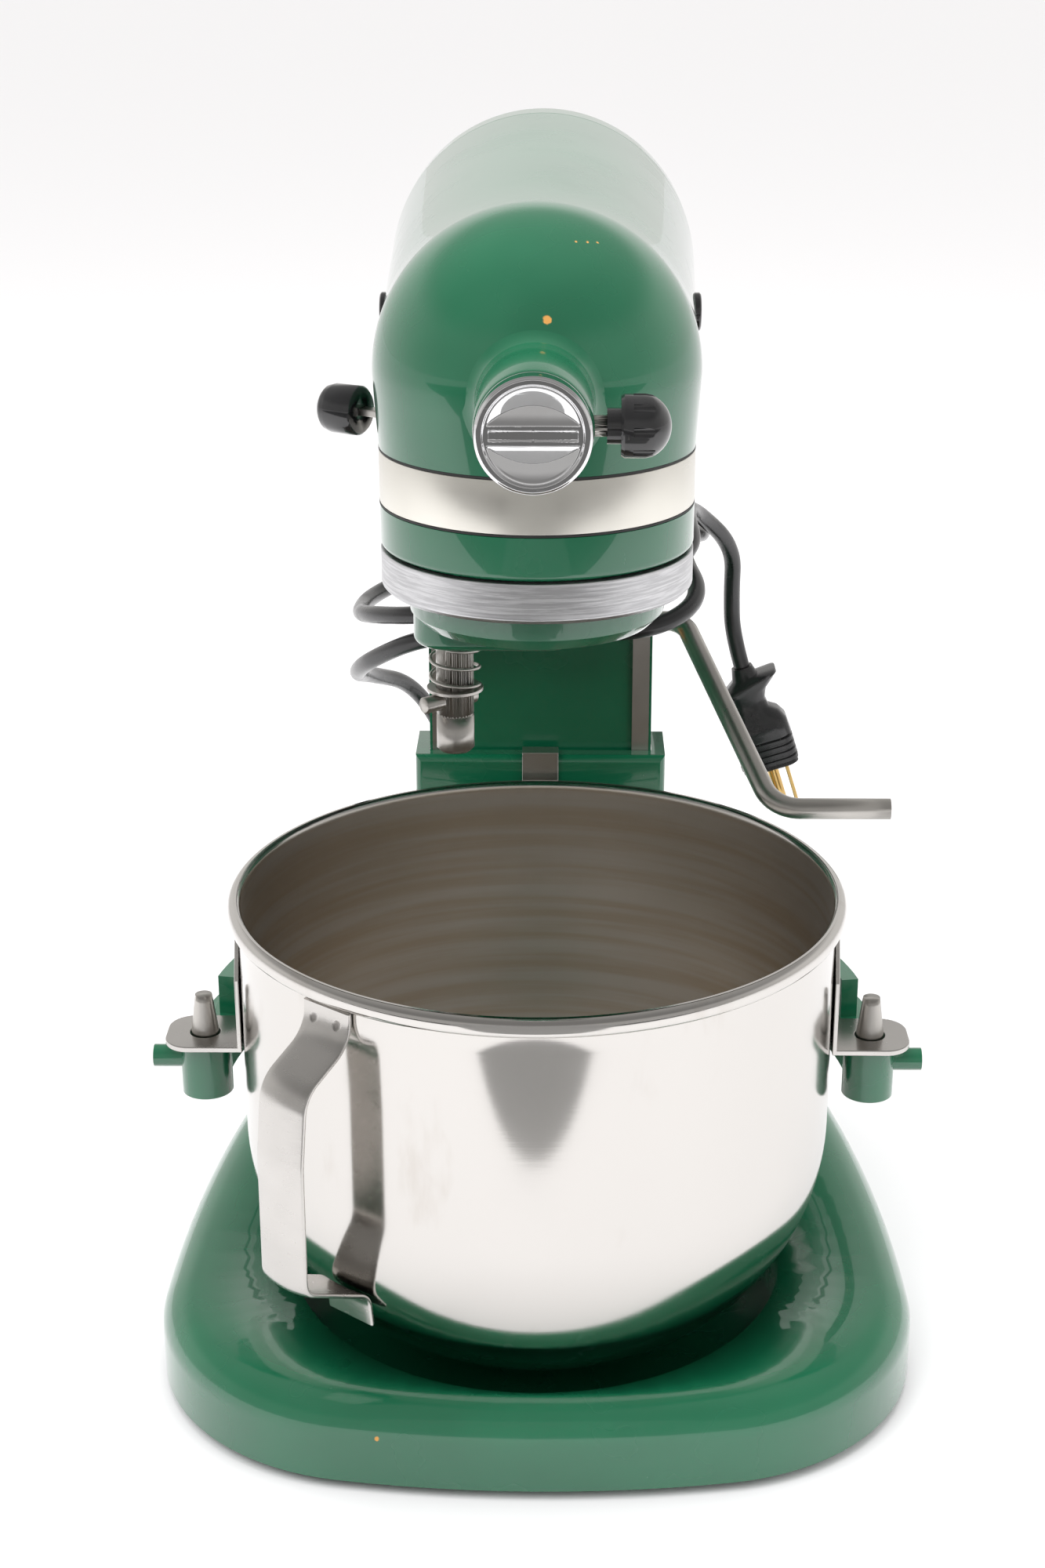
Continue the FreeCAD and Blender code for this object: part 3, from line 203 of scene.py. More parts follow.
def closed_mesh(name, build, sharp=35):
    """A mesh object from a bmesh in metres: doubles merged, faces outwards, smooth but for sharp edges."""
    bmesh.ops.remove_doubles(build, verts=build.verts, dist=0.002 * MM)
    bmesh.ops.dissolve_degenerate(build, edges=build.edges, dist=0.001 * MM)
    bmesh.ops.recalc_face_normals(build, faces=build.faces)
    mesh = bpy.data.meshes.new(name)
    build.to_mesh(mesh)
    build.free()
    mesh.shade_smooth()
    mesh.set_sharp_from_angle(angle=math.radians(sharp))
    return new_object(name, mesh)


def lattice(build, rows, around=False, along=False, first_cap=False, last_cap=False):
    """Faces over rows of points: `along` joins the last row to the first, `around` closes each row."""
    verts = [[build.verts.new(placed(p)) for p in row] for row in rows]
    for i in range(len(rows) if along else len(rows) - 1):
        row, ahead = verts[i], verts[(i + 1) % len(rows)]
        for j in range(len(row) if around else len(row) - 1):
            k = (j + 1) % len(row)
            build.faces.new((row[j], row[k], ahead[k], ahead[j]))
    if first_cap:
        build.faces.new(verts[0])
    if last_cap:
        build.faces.new(verts[-1])


def grid_piece(name, rows, sharp=35, **closing):
    build = bmesh.new()
    lattice(build, rows, **closing)
    return closed_mesh(name, build, sharp)


def turned_rows(profile, base, axis=(0, 0, 1), steps=96):
    """Rings of (radius, height) points about an axis through base."""
    turn = Vector(axis).to_track_quat("Z", "Y")
    rows = []
    for i in range(steps):
        angle = 2 * math.pi * i / steps
        rows.append([Vector(base) + turn @ Vector((r * math.cos(angle), r * math.sin(angle), h))
                     for r, h in profile])
    return rows


def turned(name, profile, base=(0, 0, 0), axis=(0, 0, 1), steps=96, hollow=False, sharp=35):
    """A turned piece. A solid profile starts and ends on the axis; a hollow one is a closed loop."""
    return grid_piece(name, turned_rows(profile, base, axis, steps), sharp, along=True, around=hollow)


def ring_of(half_x, half_y, corner, steps=6):
    """Outline of a rounded rectangle about the origin."""
    x, y = half_x, half_y
    return softened([(x, -y, corner), (x, y, corner), (-x, y, corner), (-x, -y, corner)], steps=steps)


def lofted(name, sections, base, direction, sharp=35):
    """Skins rounded rectangles (height, half_x, half_y, corner, shift, lean) that stand along a direction."""
    turn = Vector((0, 0, 1)).rotation_difference(direction)
    rows = []
    for height, half_x, half_y, corner, shift, lean in sections:
        outline = ring_of(half_x, half_y, corner)
        rows.append([Vector(base) + turn @ Vector((x + shift, y, height + lean * x)) for x, y in outline])
    return grid_piece(name, rows, sharp, around=True, first_cap=True, last_cap=True)


def evaluated(piece):
    """Bakes the modifiers of a piece into its mesh."""
    bpy.context.view_layer.update()
    mesh = bpy.data.meshes.new_from_object(piece.evaluated_get(bpy.context.evaluated_depsgraph_get()))
    old = piece.data
    piece.modifiers.clear()
    piece.data = mesh
    bpy.data.meshes.remove(old)
    return piece


def rounded_edges(piece, width, angle=40, segments=3):
    """Breaks the sharp edges of a piece."""
    bevel = piece.modifiers.new("Edges", "BEVEL")
    bevel.width = width * MM
    bevel.segments = segments
    bevel.limit_method = "ANGLE"
    bevel.angle_limit = math.radians(angle)
    bevel.harden_normals = True
    return evaluated(piece)


def carved(piece, *tools):
    """Cuts the tools out of a piece and removes them."""
    for tool in tools:
        cut = piece.modifiers.new("Cut", "BOOLEAN")
        cut.operation = "DIFFERENCE"
        cut.solver = "EXACT"
        cut.object = tool
    evaluated(piece)
    for tool in tools:
        bpy.data.objects.remove(tool)
    piece.data.set_sharp_from_angle(angle=math.radians(35))
    return piece


def block(low, high):
    """A plain cutter between two corners."""
    build = bmesh.new()
    (x0, y0, z0), (x1, y1, z1) = low, high
    lattice(build, [[(x0, y0, z), (x1, y0, z), (x1, y1, z), (x0, y1, z)] for z in (z0, z1)],
            around=True, first_cap=True, last_cap=True)
    return closed_mesh("cutter", build)


def rod(base, axis, radius, length):
    return turned("cutter", [(0, 0), (radius, 0), (radius, length), (0, length)], base, axis, 48)


def copied(node, edge=0, angle=30):
    """The frame's own shape as a clean mesh, with its edges broken where `edge` says how far."""
    build = bmesh.new()
    build.from_mesh(frame["nodes"][node].data)
    bmesh.ops.remove_doubles(build, verts=build.verts, dist=0.002 * MM)
    if edge:
        bmesh.ops.dissolve_limit(build, angle_limit=math.radians(1), verts=build.verts, edges=build.edges)
    mesh = bpy.data.meshes.new(node + "_finished")
    build.to_mesh(mesh)
    build.free()
    mesh.shade_smooth()
    mesh.set_sharp_from_angle(angle=math.radians(angle))
    piece = new_object(node + "_finished", mesh)
    return rounded_edges(piece, edge, angle) if edge else piece


def stands_for(piece, *nodes, finish=None):
    """Puts a finished piece in the place of frame nodes, with their body and the material of their slot."""
    slot = SLOT_OF[nodes[0]]
    piece.data.materials.clear()
    piece.data.materials.append(finish or material_of(slot))
    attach(piece, BODY_OF[nodes[0]])
    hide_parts(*nodes)
    return piece


# ---------------------------------------------------------------- finishes

class Value:
    """A node's output that takes part in arithmetic; each expression adds its Math nodes."""

    def __init__(self, finish, socket):
        self.finish, self.socket = finish, socket

    def math(self, operation, *values, clamp=False):
        return self.finish.node("ShaderNodeMath", {"operation": operation, "use_clamp": clamp}, *values)

    def __add__(self, other):
        return self.math("ADD", self, other)

    def __mul__(self, other):
        return self.math("MULTIPLY", self, other)

    def __sub__(self, other):
        return self.math("SUBTRACT", self, other)

    def __rsub__(self, other):
        return self.math("SUBTRACT", other, self)

    def __truediv__(self, other):
        return self.math("DIVIDE", self, other)

    def __pow__(self, other):
        return self.math("POWER", self, other)

    __radd__, __rmul__ = __add__, __mul__

    def between(self, low, high):
        """0 below low and 1 above high, smooth between."""
        settings = {"interpolation_type": "SMOOTHSTEP"}
        return self.finish.node("ShaderNodeMapRange", settings, self, low, high, 0, 1)

    def most(self, other):
        return self.math("MAXIMUM", self, other)


class Finish:
    """A material being made: plain values on its shader, and nodes that vary over the surface."""

    def __init__(self, name, colour, metallic, roughness, coat=0.0):
        self.material = bpy.data.materials.new(name)
        self.material.use_nodes = True
        self.tree = self.material.node_tree
        self.shader = self.tree.nodes["Principled BSDF"]
        self.colour, self.roughness = tuple(colour) + (1,), roughness
        self.set("Base Color", self.colour)
        self.set("Metallic", metallic)
        self.set("Roughness", roughness)
        self.set("Coat Weight", coat)
        self.set("Coat Roughness", 0.03)

    def set(self, name, value):
        self.feed(self.shader.inputs[name], value)

    def feed(self, socket, value):
        if isinstance(value, Value):
            self.tree.links.new(value.socket, socket)
        else:
            socket.default_value = value

    def node(self, kind, settings=None, *values, output=0, **named):
        """Adds a node: its settings first, then its sockets in order or by name."""
        made = self.tree.nodes.new(kind)
        for key, value in (settings or {}).items():
            setattr(made, key, value)
        for socket, value in zip(made.inputs, values):
            if value is not None:
                self.feed(socket, value)
        for key, value in named.items():
            self.feed(made.inputs[key.replace("_", " ").title()], value)
        return Value(self, made.outputs[output])

    def place(self, stretch=(1, 1, 1), centre=(0, 0, 0), turn=(0, 0, 0)):
        """Object coordinates measured from a centre, turned and stretched."""
        where = self.node("ShaderNodeTexCoord", output="Object")
        arm = self.node("ShaderNodeVectorMath", {"operation": "SUBTRACT"}, where, centre)
        return self.node("ShaderNodeMapping", {"vector_type": "POINT"}, arm, (0, 0, 0), turn, stretch)

    def noise(self, scale, detail=3.0, stretch=(1, 1, 1), at=None, roughness=0.55):
        return self.node("ShaderNodeTexNoise", None, vector=at or self.place(stretch), scale=scale,
                         detail=detail, roughness=roughness)

    def parts(self, vector):
        """x, y and z of a vector."""
        split = self.node("ShaderNodeSeparateXYZ", None, vector)
        return [Value(self, socket) for socket in split.socket.node.outputs]

    def vector(self, x, y, z):
        return self.node("ShaderNodeCombineXYZ", None, x, y, z)

    def mix(self, factor, first, second):
        mixer = self.tree.nodes.new("ShaderNodeMix")
        mixer.data_type = "RGBA"
        self.feed(mixer.inputs["Factor"], factor)
        self.feed(mixer.inputs[6], first)
        self.feed(mixer.inputs[7], second)
        return Value(self, mixer.outputs[2])

    def distance(self, where, point):
        """How far a surface point is from a point in millimetres."""
        settings = {"operation": "DISTANCE"}
        return self.node("ShaderNodeVectorMath", settings, where, placed(point), output="Value")

    def bump(self, height, distance, strength=1.0):
        relief = self.node("ShaderNodeBump", None, strength=strength, distance=distance * MM, height=height)
        self.set("Normal", relief)

    def tinted(self, scale, amount):
        """Base colour varied in brightness by soft patches."""
        dark = tuple(c * (1 - amount) for c in self.colour[:3]) + (1,)
        light = tuple(min(1, c * (1 + amount)) for c in self.colour[:3]) + (1,)
        return self.mix(self.noise(scale).between(0.3, 0.7), dark, light)


CHIPS = ((3.5, -47, 381.8, 1.3), (1.7, -50.2, 374.2, 0.7), (12.1, -26.6, 402, 0.3),
         (15.7, -25.4, 401.6, 0.35), (18.6, -23.8, 401.3, 0.3), (-52, -98.5, 22, 0.8))


def spots(finish, places):
    """1 inside ragged spots (x, y, z, radius) on the surface, 0 elsewhere."""
    where = finish.place()
    ragged = finish.noise(900, 2) * (0.9 * MM)
    mask = None
    for x, y, z, radius in places:
        reach = finish.distance(where, (x, y, z)) + ragged
        spot = 1 - reach.between((radius + 0.2) * MM, (radius + 0.75) * MM)
        mask = spot if mask is None else mask.most(spot)
    return mask


def enamel():
    colours = bpy.context.scene.mixer_colours
    finish = Finish("green_enamel", colours.enamel, 0, 0.32, coat=0.9)
    drift = finish.tinted(14, 0.10)
    chips = spots(finish, CHIPS)
    finish.set("Base Color", finish.mix(chips, drift, tuple(colours.primer) + (1,)))
    haze = finish.noise(30, 3).between(0.35, 0.8)
    scuffs = finish.noise(60, 5, (1, 12, 1), roughness=0.7).between(0.70, 0.78)
    finish.set("Roughness", (0.25 + haze * 0.05 + scuffs * 0.12).most(chips * 0.7))
    finish.set("Coat Weight", 0.95 - chips * 0.9 - scuffs * 0.3)
    peel = finish.noise(260, 2)
    finish.bump(peel * 0.3 - chips * 2, 0.05, 0.5)
    return finish.material


def brushed(name, colour, roughness, grain, patches=0.10, relief=0.03):
    """Metal with fine parallel scratches: grain is the stretch that lays them, long where it is small."""
    finish = Finish(name, colour, 1, roughness)
    lines = finish.noise(1, 4, grain, roughness=0.75)
    smudge = finish.noise(22, 3).between(0.35, 0.75)
    finish.set("Base Color", finish.tinted(18, patches))
    finish.set("Roughness", roughness - 0.05 + lines * 0.12 + smudge * 0.1)
    finish.bump(lines, relief, 0.6)
    return finish.material


def bowl_outside():
    colour = bpy.context.scene.mixer_colours.steel
    finish = Finish("polished_bowl_steel", colour, 1, 0.12)
    lines = finish.noise(1, 4, (25, 25, 1400), roughness=0.7)
    cloud = finish.noise(16, 4).between(0.4, 0.75)
    smear = finish.noise(30, 5, (1, 1, 0.35), roughness=0.65).between(0.56, 0.72)
    warm = tuple(c * k for c, k in zip(colour, (0.80, 0.76, 0.72))) + (1,)
    finish.set("Base Color", finish.mix(smear * 0.45, finish.colour, warm))
    finish.set("Roughness", 0.085 + cloud * 0.06 + lines * 0.03 + smear * 0.07)
    finish.bump(lines, 0.012, 0.35)
    return finish.material


def bowl_inside_painted_light():
    # The inside is the same steel as the outside, made 1.3 times as bright: painted light inside the bowl.
    colour = tuple(c * 1.3 for c in bpy.context.scene.mixer_colours.steel)
    finish = Finish("brushed_bowl_steel", colour, 1, 0.3)
    x, y, z = finish.parts(finish.place(centre=placed((0, 0, 0))))
    reach = (x * x + y * y) ** 0.5
    lines = finish.noise(1, 4, at=finish.vector(x * 18, y * 18, (reach + z) * 1500), roughness=0.75)
    broad = finish.noise(1, 3, at=finish.vector(x * 6, y * 6, (reach + z) * 160))
    brown = tuple(c * k for c, k in zip(colour, (0.86, 0.79, 0.70))) + (1,)
    finish.set("Base Color", finish.mix(broad.between(0.35, 0.7), finish.colour, brown))
    finish.set("Roughness", 0.22 + lines * 0.14 + broad * 0.08)
    finish.bump(lines, 0.03, 0.5)
    return finish.material


def moulded(name, colour, roughness, coat, grain=700, relief=0.02):
    """Plastic or rubber with a fine mould grain and handling marks."""
    finish = Finish(name, colour, 0, roughness, coat)
    grip = finish.noise(55, 4).between(0.4, 0.75)
    speck = finish.noise(420, 3).between(0.70, 0.76)
    finish.set("Base Color", finish.mix(speck * 0.5, finish.tinted(40, 0.25), (0.16, 0.15, 0.13, 1)))
    finish.set("Roughness", roughness - 0.05 + grip * 0.14 + speck * 0.2)
    finish.bump(finish.noise(grain, 2), relief, 0.5)
    return finish.material


def chrome():
    finish = Finish("bright_chrome", (0.80, 0.80, 0.81), 1, 0.06)
    haze = finish.noise(70, 4).between(0.45, 0.8)
    scratch = finish.noise(90, 4, (1, 1, 14), roughness=0.7).between(0.62, 0.72)
    finish.set("Roughness", 0.045 + haze * 0.07 + scratch * 0.12)
    finish.set("Base Color", finish.mix(haze * 0.3, finish.colour, (0.60, 0.59, 0.57, 1)))
    finish.bump(scratch, 0.008, 0.4)
    return finish.material


def drip_ring_metal():
    finish = Finish("streaked_aluminium", (0.66, 0.66, 0.67), 1, 0.3)
    x, y, z = finish.parts(finish.place(centre=placed((0, 0, 0))))
    streak = finish.noise(1, 5, at=finish.vector(x * 45, y * 45, z * 1300), roughness=0.7)
    band = streak.between(0.42, 0.62)
    finish.set("Base Color", finish.mix(band, (0.47, 0.47, 0.48, 1), (0.66, 0.66, 0.67, 1)))
    finish.set("Roughness", 0.24 + streak * 0.22)
    finish.bump(streak, 0.06, 0.6)
    return finish.material


def wound_copper():
    finish = Finish("varnished_copper", (0.55, 0.20, 0.07), 1, 0.35, coat=0.5)
    wires = finish.node("ShaderNodeTexWave", {"wave_type": "BANDS", "bands_direction": "Y"},
                        vector=finish.place(), scale=260.0, distortion=0.6)
    finish.set("Base Color", finish.mix(wires, (0.22, 0.07, 0.02, 1), finish.colour))
    finish.bump(wires, 0.3)
    return finish.material


def stacked_steel():
    finish = Finish("stacked_laminations", (0.24, 0.24, 0.25), 1, 0.45)
    sheets = finish.node("ShaderNodeTexWave", {"wave_type": "BANDS", "bands_direction": "Y"},
                         vector=finish.place(), scale=320.0)
    finish.set("Base Color", finish.mix(sheets, (0.13, 0.10, 0.08, 1), finish.tinted(30, 0.2)))
    finish.set("Roughness", 0.35 + sheets * 0.2)
    finish.bump(sheets, 0.1)
    return finish.material


FINISHES = {
    "enamel": enamel,
    "bowl_steel": bowl_outside,
    "trim_aluminium": lambda: brushed("satin_trim", (0.73, 0.71, 0.65), 0.27, (30, 30, 1500), 0.05, 0.015),
    "ring_aluminium": drip_ring_metal,
    "bright_chrome": chrome,
    "bare_steel": lambda: brushed("bare_steel", (0.52, 0.50, 0.47), 0.28, (300, 300, 60), 0.14),
    "gear_steel": lambda: brushed("machined_steel", (0.42, 0.42, 0.43), 0.3, (400, 400, 400), 0.12),
    "zinc_steel": lambda: brushed("zinc_plate", (0.58, 0.58, 0.52), 0.33, (200, 200, 200), 0.2),
    "black_plastic": lambda: moulded("black_knob_plastic", (0.012, 0.012, 0.013), 0.2, 0.6),
    "black_rubber": lambda: moulded("black_foot_rubber", (0.02, 0.02, 0.02), 0.62, 0),
    "cord_black": lambda: moulded("black_cord_sheath", (0.014, 0.014, 0.015), 0.3, 0.25, 500, 0.04),
    "plug_brass": lambda: brushed("plug_brass", (0.68, 0.46, 0.18), 0.24, (500, 500, 60), 0.12),
    "bronze": lambda: brushed("sintered_bronze", (0.42, 0.26, 0.11), 0.42, (500, 500, 500), 0.2, 0.06),
    "laminations": stacked_steel,
    "copper": wound_copper,
    "phenolic": lambda: moulded("brown_phenolic", (0.075, 0.03, 0.014), 0.45, 0.1),
    "carbon": lambda: moulded("brush_carbon", (0.03, 0.03, 0.03), 0.55, 0),
}
_made = {}


def material_of(slot):
    if slot not in _made:
        _made[slot] = FINISHES[slot]()
    return _made[slot]


# ---------------------------------------------------------------- head

def head_radius(y):
    """The head widens evenly to the rear, after an easy start."""
    size = bpy.context.scene.mixer_sizes
    growth = HEAD_TOP - HEAD_AXIS - size.head_radius
    ease = size.head_ease
    run = math.hypot(y, ease) - ease
    return size.head_radius + growth * run / (math.hypot(CASE_REAR, ease) - ease)


def arch(radius, half, low, steps=40):
    """Half section of the head, from its lower right edge up to the crown, as (x, z)."""
    sides = [(half + (radius - half) * i / 4, low + (HEAD_AXIS - low) * i / 4) for i in range(4)]
    return sides + arc(0, HEAD_AXIS, radius, 0, 90, steps)


def mirrored(side):
    """A half section as a whole one, from right to left."""
    return side + [(-x, z) for x, z in side[-2::-1]]


def head_rows(inset, low):
    """Sections of the head, from the rear forward, as rows of points."""
    rows = []
    for y in (CASE_REAR * (1 - i / 48) for i in range(48)):
        half = NOSE + (CASE_HALF - NOSE) * y / CASE_REAR
        rows.append([(x, y, z) for x, z in mirrored(arch(head_radius(y) - inset, half - inset, low))])
    return rows


def make_head_shell():
    size = bpy.context.scene.mixer_sizes
    low = BAND_HIGH + 0.3
    build = bmesh.new()
    for inset in (0, size.skin):
        side = arch(size.head_radius - inset, NOSE - inset, low)
        lattice(build, head_rows(inset, low) + [[(x, 0, z) for x, z in mirrored(side)]])
        turns = [math.radians(180 * i / 96) for i in range(97)]
        lattice(build, [[(x * math.cos(a), -x * math.sin(a), z) for x, z in side] for a in turns])
    outer = arch(head_radius(CASE_REAR), CASE_HALF, low)
    inner = arch(head_radius(CASE_REAR) - size.skin, CASE_HALF - size.skin, low)
    for side in (1, -1):
        lattice(build, [[(side * x, CASE_REAR, z) for x, z in edge] for edge in (outer, inner)])
    plan_out, plan_in = case_plan(0, True), case_plan(size.skin, True)
    lattice(build, [[(x, y, low) for x, y in plan_out], [(x, y, low) for x, y in plan_in]])
    shell = closed_mesh("housing_shell", build, 40)
    tools = [
        rod((0, HUB_FACE - 2, HEAD_AXIS), (0, 1, 0), size.hub_bore, 60),
        rod((-80, 110, HEAD_AXIS), (1, 0, 0), 7.3, 160),
        block((-70, 10, low - 2), (-45, 37, low + 6.5)),
    ]
    return carved(shell, *tools)


def case_plan(inset, open_rear=False):
    """Plan of the gear case from the right rear corner, round the nose, to the left rear corner."""
    nose, half, rear = NOSE - inset, CASE_HALF - inset, CASE_REAR - (0 if open_rear else inset)
    right = [(half + (nose - half) * i / 48, rear * (1 - i / 48)) for i in range(48)]
    front = [(x, -y) for x, y in arc(0, 0, nose, 0, 180, 96)]
    return right + front + [(-x, y) for x, y in right[::-1]]


def make_hub_boss():
    """The boss that holds the attachment socket, flared into the nose of the head."""
    size = bpy.context.scene.mixer_sizes
    front, bore, out, flare = HUB_FACE + 0.3, size.hub_bore, size.hub_radius, size.hub_flare

    def nose_y(radius, angle):
        x, rise = radius * math.cos(angle), radius * math.sin(angle)
        return -math.sqrt(size.head_radius ** 2 - x * x - max(rise, 0) ** 2)

    rows = []
    for i in range(96):
        angle = 2 * math.pi * i / 96
        path = [(bore, front + 42), (bore, front + 0.8), (bore + 0.8, front), (out - 1.2, front),
                (out - 0.35, front + 0.35), (out, front + 1.2)]
        near, far = nose_y(out, angle) - flare, nose_y(out + flare, angle) + 0.3
        for k in range(9):
            t = k / 8
            radius = (1 - t) ** 2 * out + 2 * t * (1 - t) * out + t * t * (out + flare)
            path.append((radius, (1 - t) ** 2 * near + 2 * t * (1 - t) * (near + flare * 0.92) + t * t * far))
        path += [(out + flare - 1, far + 6), (bore + 1.5, front + 42)]
        rows.append([(r * math.cos(angle), y, HEAD_AXIS + r * math.sin(angle)) for r, y in path])
    boss = grid_piece("housing_hub_boss", rows, 50, along=True, around=True)
    middle_y = sum(c.y for c in span("hub_stud")) / 2
    return carved(boss, rod((size.hub_bore - 2, middle_y, HEAD_AXIS), (1, 0, 0), 3.3, 12))


def make_gear_case():
    """The lower half of the head: a shallow casting with a softly rounded lower edge."""
    lip = 1.4
    corner = arc(2.4, HEAD_LOW + 2.4, 2.4, -90, -180, 6)
    profile = [(9, HEAD_LOW)] + corner + [(0, BAND_LOW - 0.35), (0.4, BAND_LOW - 0.1), (lip, BAND_LOW - 0.1),
                                          (lip, BAND_HIGH), (9, BAND_HIGH)]
    rows = [[(x, y, z) for x, y in case_plan(inset)] for inset, z in profile]
    return grid_piece("gear_case_shell", rows, 40, around=True, first_cap=True, last_cap=True)


def band_ring(name, profile):
    """A strip round the gear case, from a closed profile of (inset, z)."""
    rows = [[(x, y, z) for x, y in case_plan(inset)] for inset, z in profile]
    return grid_piece(name, rows, 40, around=True, along=True)


def make_end_cover():
    """The domed rear cover, with louvred slots and a seam against the housing."""
    front, edge = CASE_REAR + 0.3, 26
    radius, half = head_radius(CASE_REAR), CASE_HALF
    stations = [(0.5, front), (0, front + 0.5)]
    stations += [(0, front + (COVER_REAR - edge - front) * i / 8) for i in range(1, 8)]
    stations += [(edge * (1 - math.cos(a)), COVER_REAR - edge + edge * math.sin(a))
                 for a in (math.radians(90 * i / 20) for i in range(21))]
    rows = []
    for inset, y in stations:
        low = HEAD_LOW + inset
        side = arch(radius - inset, half - inset, low)
        floor = [(half - inset) * (1 - i / 12) for i in range(1, 24)]
        rows.append([(x, y, z) for x, z in mirrored(side)] + [(-x, y, low) for x in floor])
    cover = grid_piece("end_cover_shell", rows, 40, around=True, first_cap=True, last_cap=True)
    slot_half, slot_tall, pitch = 24, 3, 6
    slots = []
    for foot in (HEAD_AXIS - 34 + pitch * i for i in range(4)):
        slots.append(block((-slot_half, COVER_REAR - 5, foot), (slot_half, COVER_REAR + 2, foot + slot_tall)))
    return carved(cover, *slots)


def make_hub_cap():
    """The pull-out cap: a raised rim round two dished halves, with a plain bar between them."""
    low, high = span("hub_cap")
    radius, face = (high.x - low.x) / 2, low.y
    rim_wide, rim_tall = 2.2, 0.9
    dish_radius, dish_deep, bar_half = radius - 3.1, 2.1, 2.7
    panel_half_x, panel_half_z, panel_deep = 12.6, 1.3, 0.3

    def ease(value):
        value = min(max(value, 0), 1)
        return value * value * (3 - 2 * value)

    def depth(r, x, z):
        edge, floor = ease(r - radius + 1), ease((radius - rim_wide - r) / 0.7)
        inside = min(dish_radius - r, abs(z) - bar_half)
        bowl = min(max(inside / 8, 0), 1)
        panel = ease((min(panel_half_z - abs(z), panel_half_x - abs(x)) + 0.2) / 0.25)
        return (rim_tall * (edge + floor) + dish_deep * bowl * (2 - bowl) * ease(inside / 0.8)
                + panel_deep * panel)

    reaches = [0.02] + [radius * i / 90 for i in range(1, 82)]
    reaches += [radius - 1.7 + 0.1 * i for i in range(1, 18)]
    rows = []
    for i in range(256):
        angle = 2 * math.pi * i / 256
        rim = (radius * math.cos(angle), high.y, HEAD_AXIS + radius * math.sin(angle))
        row = [(0, high.y, HEAD_AXIS), rim]
        for r in reaches[::-1]:
            x, z = r * math.cos(angle), r * math.sin(angle)
            row.append((x, face + depth(r, x, z), HEAD_AXIS + z))
        rows.append(row + [(0, face + depth(0, 0, 0), HEAD_AXIS)])
    return grid_piece("hub_cap_dished", rows, 50, along=True)


# ---------------------------------------------------------------- bowl

def bowl_profile(size):
    outer, wall, curve = size.bowl_radius, size.bowl_wall, size.bowl_curve
    flat = outer - curve
    under = BOWL_TOP - size.bead_tall
    outside = [(0, BOWL_LOW), (flat * 0.5, BOWL_LOW)] + arc(flat, BOWL_LOW + curve, curve, -90, 0, 40)
    outside += [(outer, BOWL_LOW + curve + (under - BOWL_LOW - curve) * i / 12) for i in range(1, 12)]
    bead = softened([(outer, under - 1, 0), (outer + 0.2, under, 0.4), (BEAD, under, 2.4),
                     (BEAD, BOWL_TOP, 3.1), (outer - wall, BOWL_TOP, 2.6), (outer - wall, under - 3, 0)],
                    closed=False, steps=8)
    inside = [(outer - wall, under - 3 - (under - 3 - BOWL_LOW - curve) * i / 12) for i in range(1, 12)]
    inside += arc(flat, BOWL_LOW + curve, curve - wall, 0, -90, 40) + [(0, BOWL_LOW + wall)]
    return outside + bead, inside


def make_bowl():
    size = bpy.context.scene.mixer_sizes
    outside, inside = bowl_profile(size)
    bowl = turned("mixing_bowl", outside + inside, steps=192)
    stands_for(bowl, "bowl")
    bowl.data.materials.append(bowl_inside_painted_light())
    lip = (size.bowl_radius - size.bowl_wall + 1.0) * MM
    for face in bowl.data.polygons:
        centre = face.center - Vector((0, MIXING_Y, 0))
        level = Vector((centre.x, centre.y, 0))
        inward = face.normal.dot(level) < 0 or face.normal.z > 0.9
        face.material_index = int(inward and level.length < lip and centre.z < (BOWL_TOP - 1.5) * MM)
    return bowl


def compass(heading):
    """Level directions along a heading in degrees and across it."""
    angle = math.radians(heading)
    return Vector((math.cos(angle), math.sin(angle), 0)), Vector((-math.sin(angle), math.cos(angle), 0))


def ribbon(name, path, heading, width, thick, crown):
    """A bent strip through points (reach, height) of an upright plane, its edges drawn back by crown."""
    out, across = compass(heading)
    outline = ring_of(thick / 2, width / 2, thick * 0.42, 4)
    section = []
    for (a, b), (_, d) in zip(outline, outline[1:] + outline[:1]):
        parts = 1 if abs(d - b) < width / 2 else 8
        section += [(a, b + (d - b) * k / parts) for k in range(parts)]
    rows = []
    points = [Vector(p) for p in path]
    longest = sum((b - a).length for a, b in zip(points, points[1:]))
    gone = 0.0
    for i, here in enumerate(points):
        before, after = points[max(i - 1, 0)], points[min(i + 1, len(points) - 1)]
        gone += (here - before).length
        share = math.sin(math.pi * min(1, gone / longest)) ** 0.7
        run = (after - before).normalized()
        normal = Vector((run.y, -run.x))
        row = []
        for t, w in section:
            at = here + normal * (t + crown * share * (2 * w / width) ** 2)
            row.append(out * at.x + Vector((0, 0, at.y)) + across * w)
        rows.append(row)
    return grid_piece(name, rows, 40, around=True, first_cap=True, last_cap=True)


def make_handle():
    size = bpy.context.scene.mixer_sizes
    weld = size.bowl_radius + size.strip_thick / 2 + 0.05
    under = BOWL_TOP - size.bead_tall
    foot, out = size.handle_low, size.handle_out
    corners = [(weld, under - 1), (weld, size.handle_top + 12, 13), (out - 3, size.handle_top + 1, 13),
               (out, size.handle_top - 24, 30), (out, foot, 8), (weld + 6, foot - 9, 9),
               (weld - 4.8, foot - 14, 7), (weld - 6.8, foot - 25)]
    return ribbon("bowl_grip", softened(corners, closed=False, steps=10), -90 - size.handle_angle,
                  size.strip_width, size.strip_thick, 1.6)


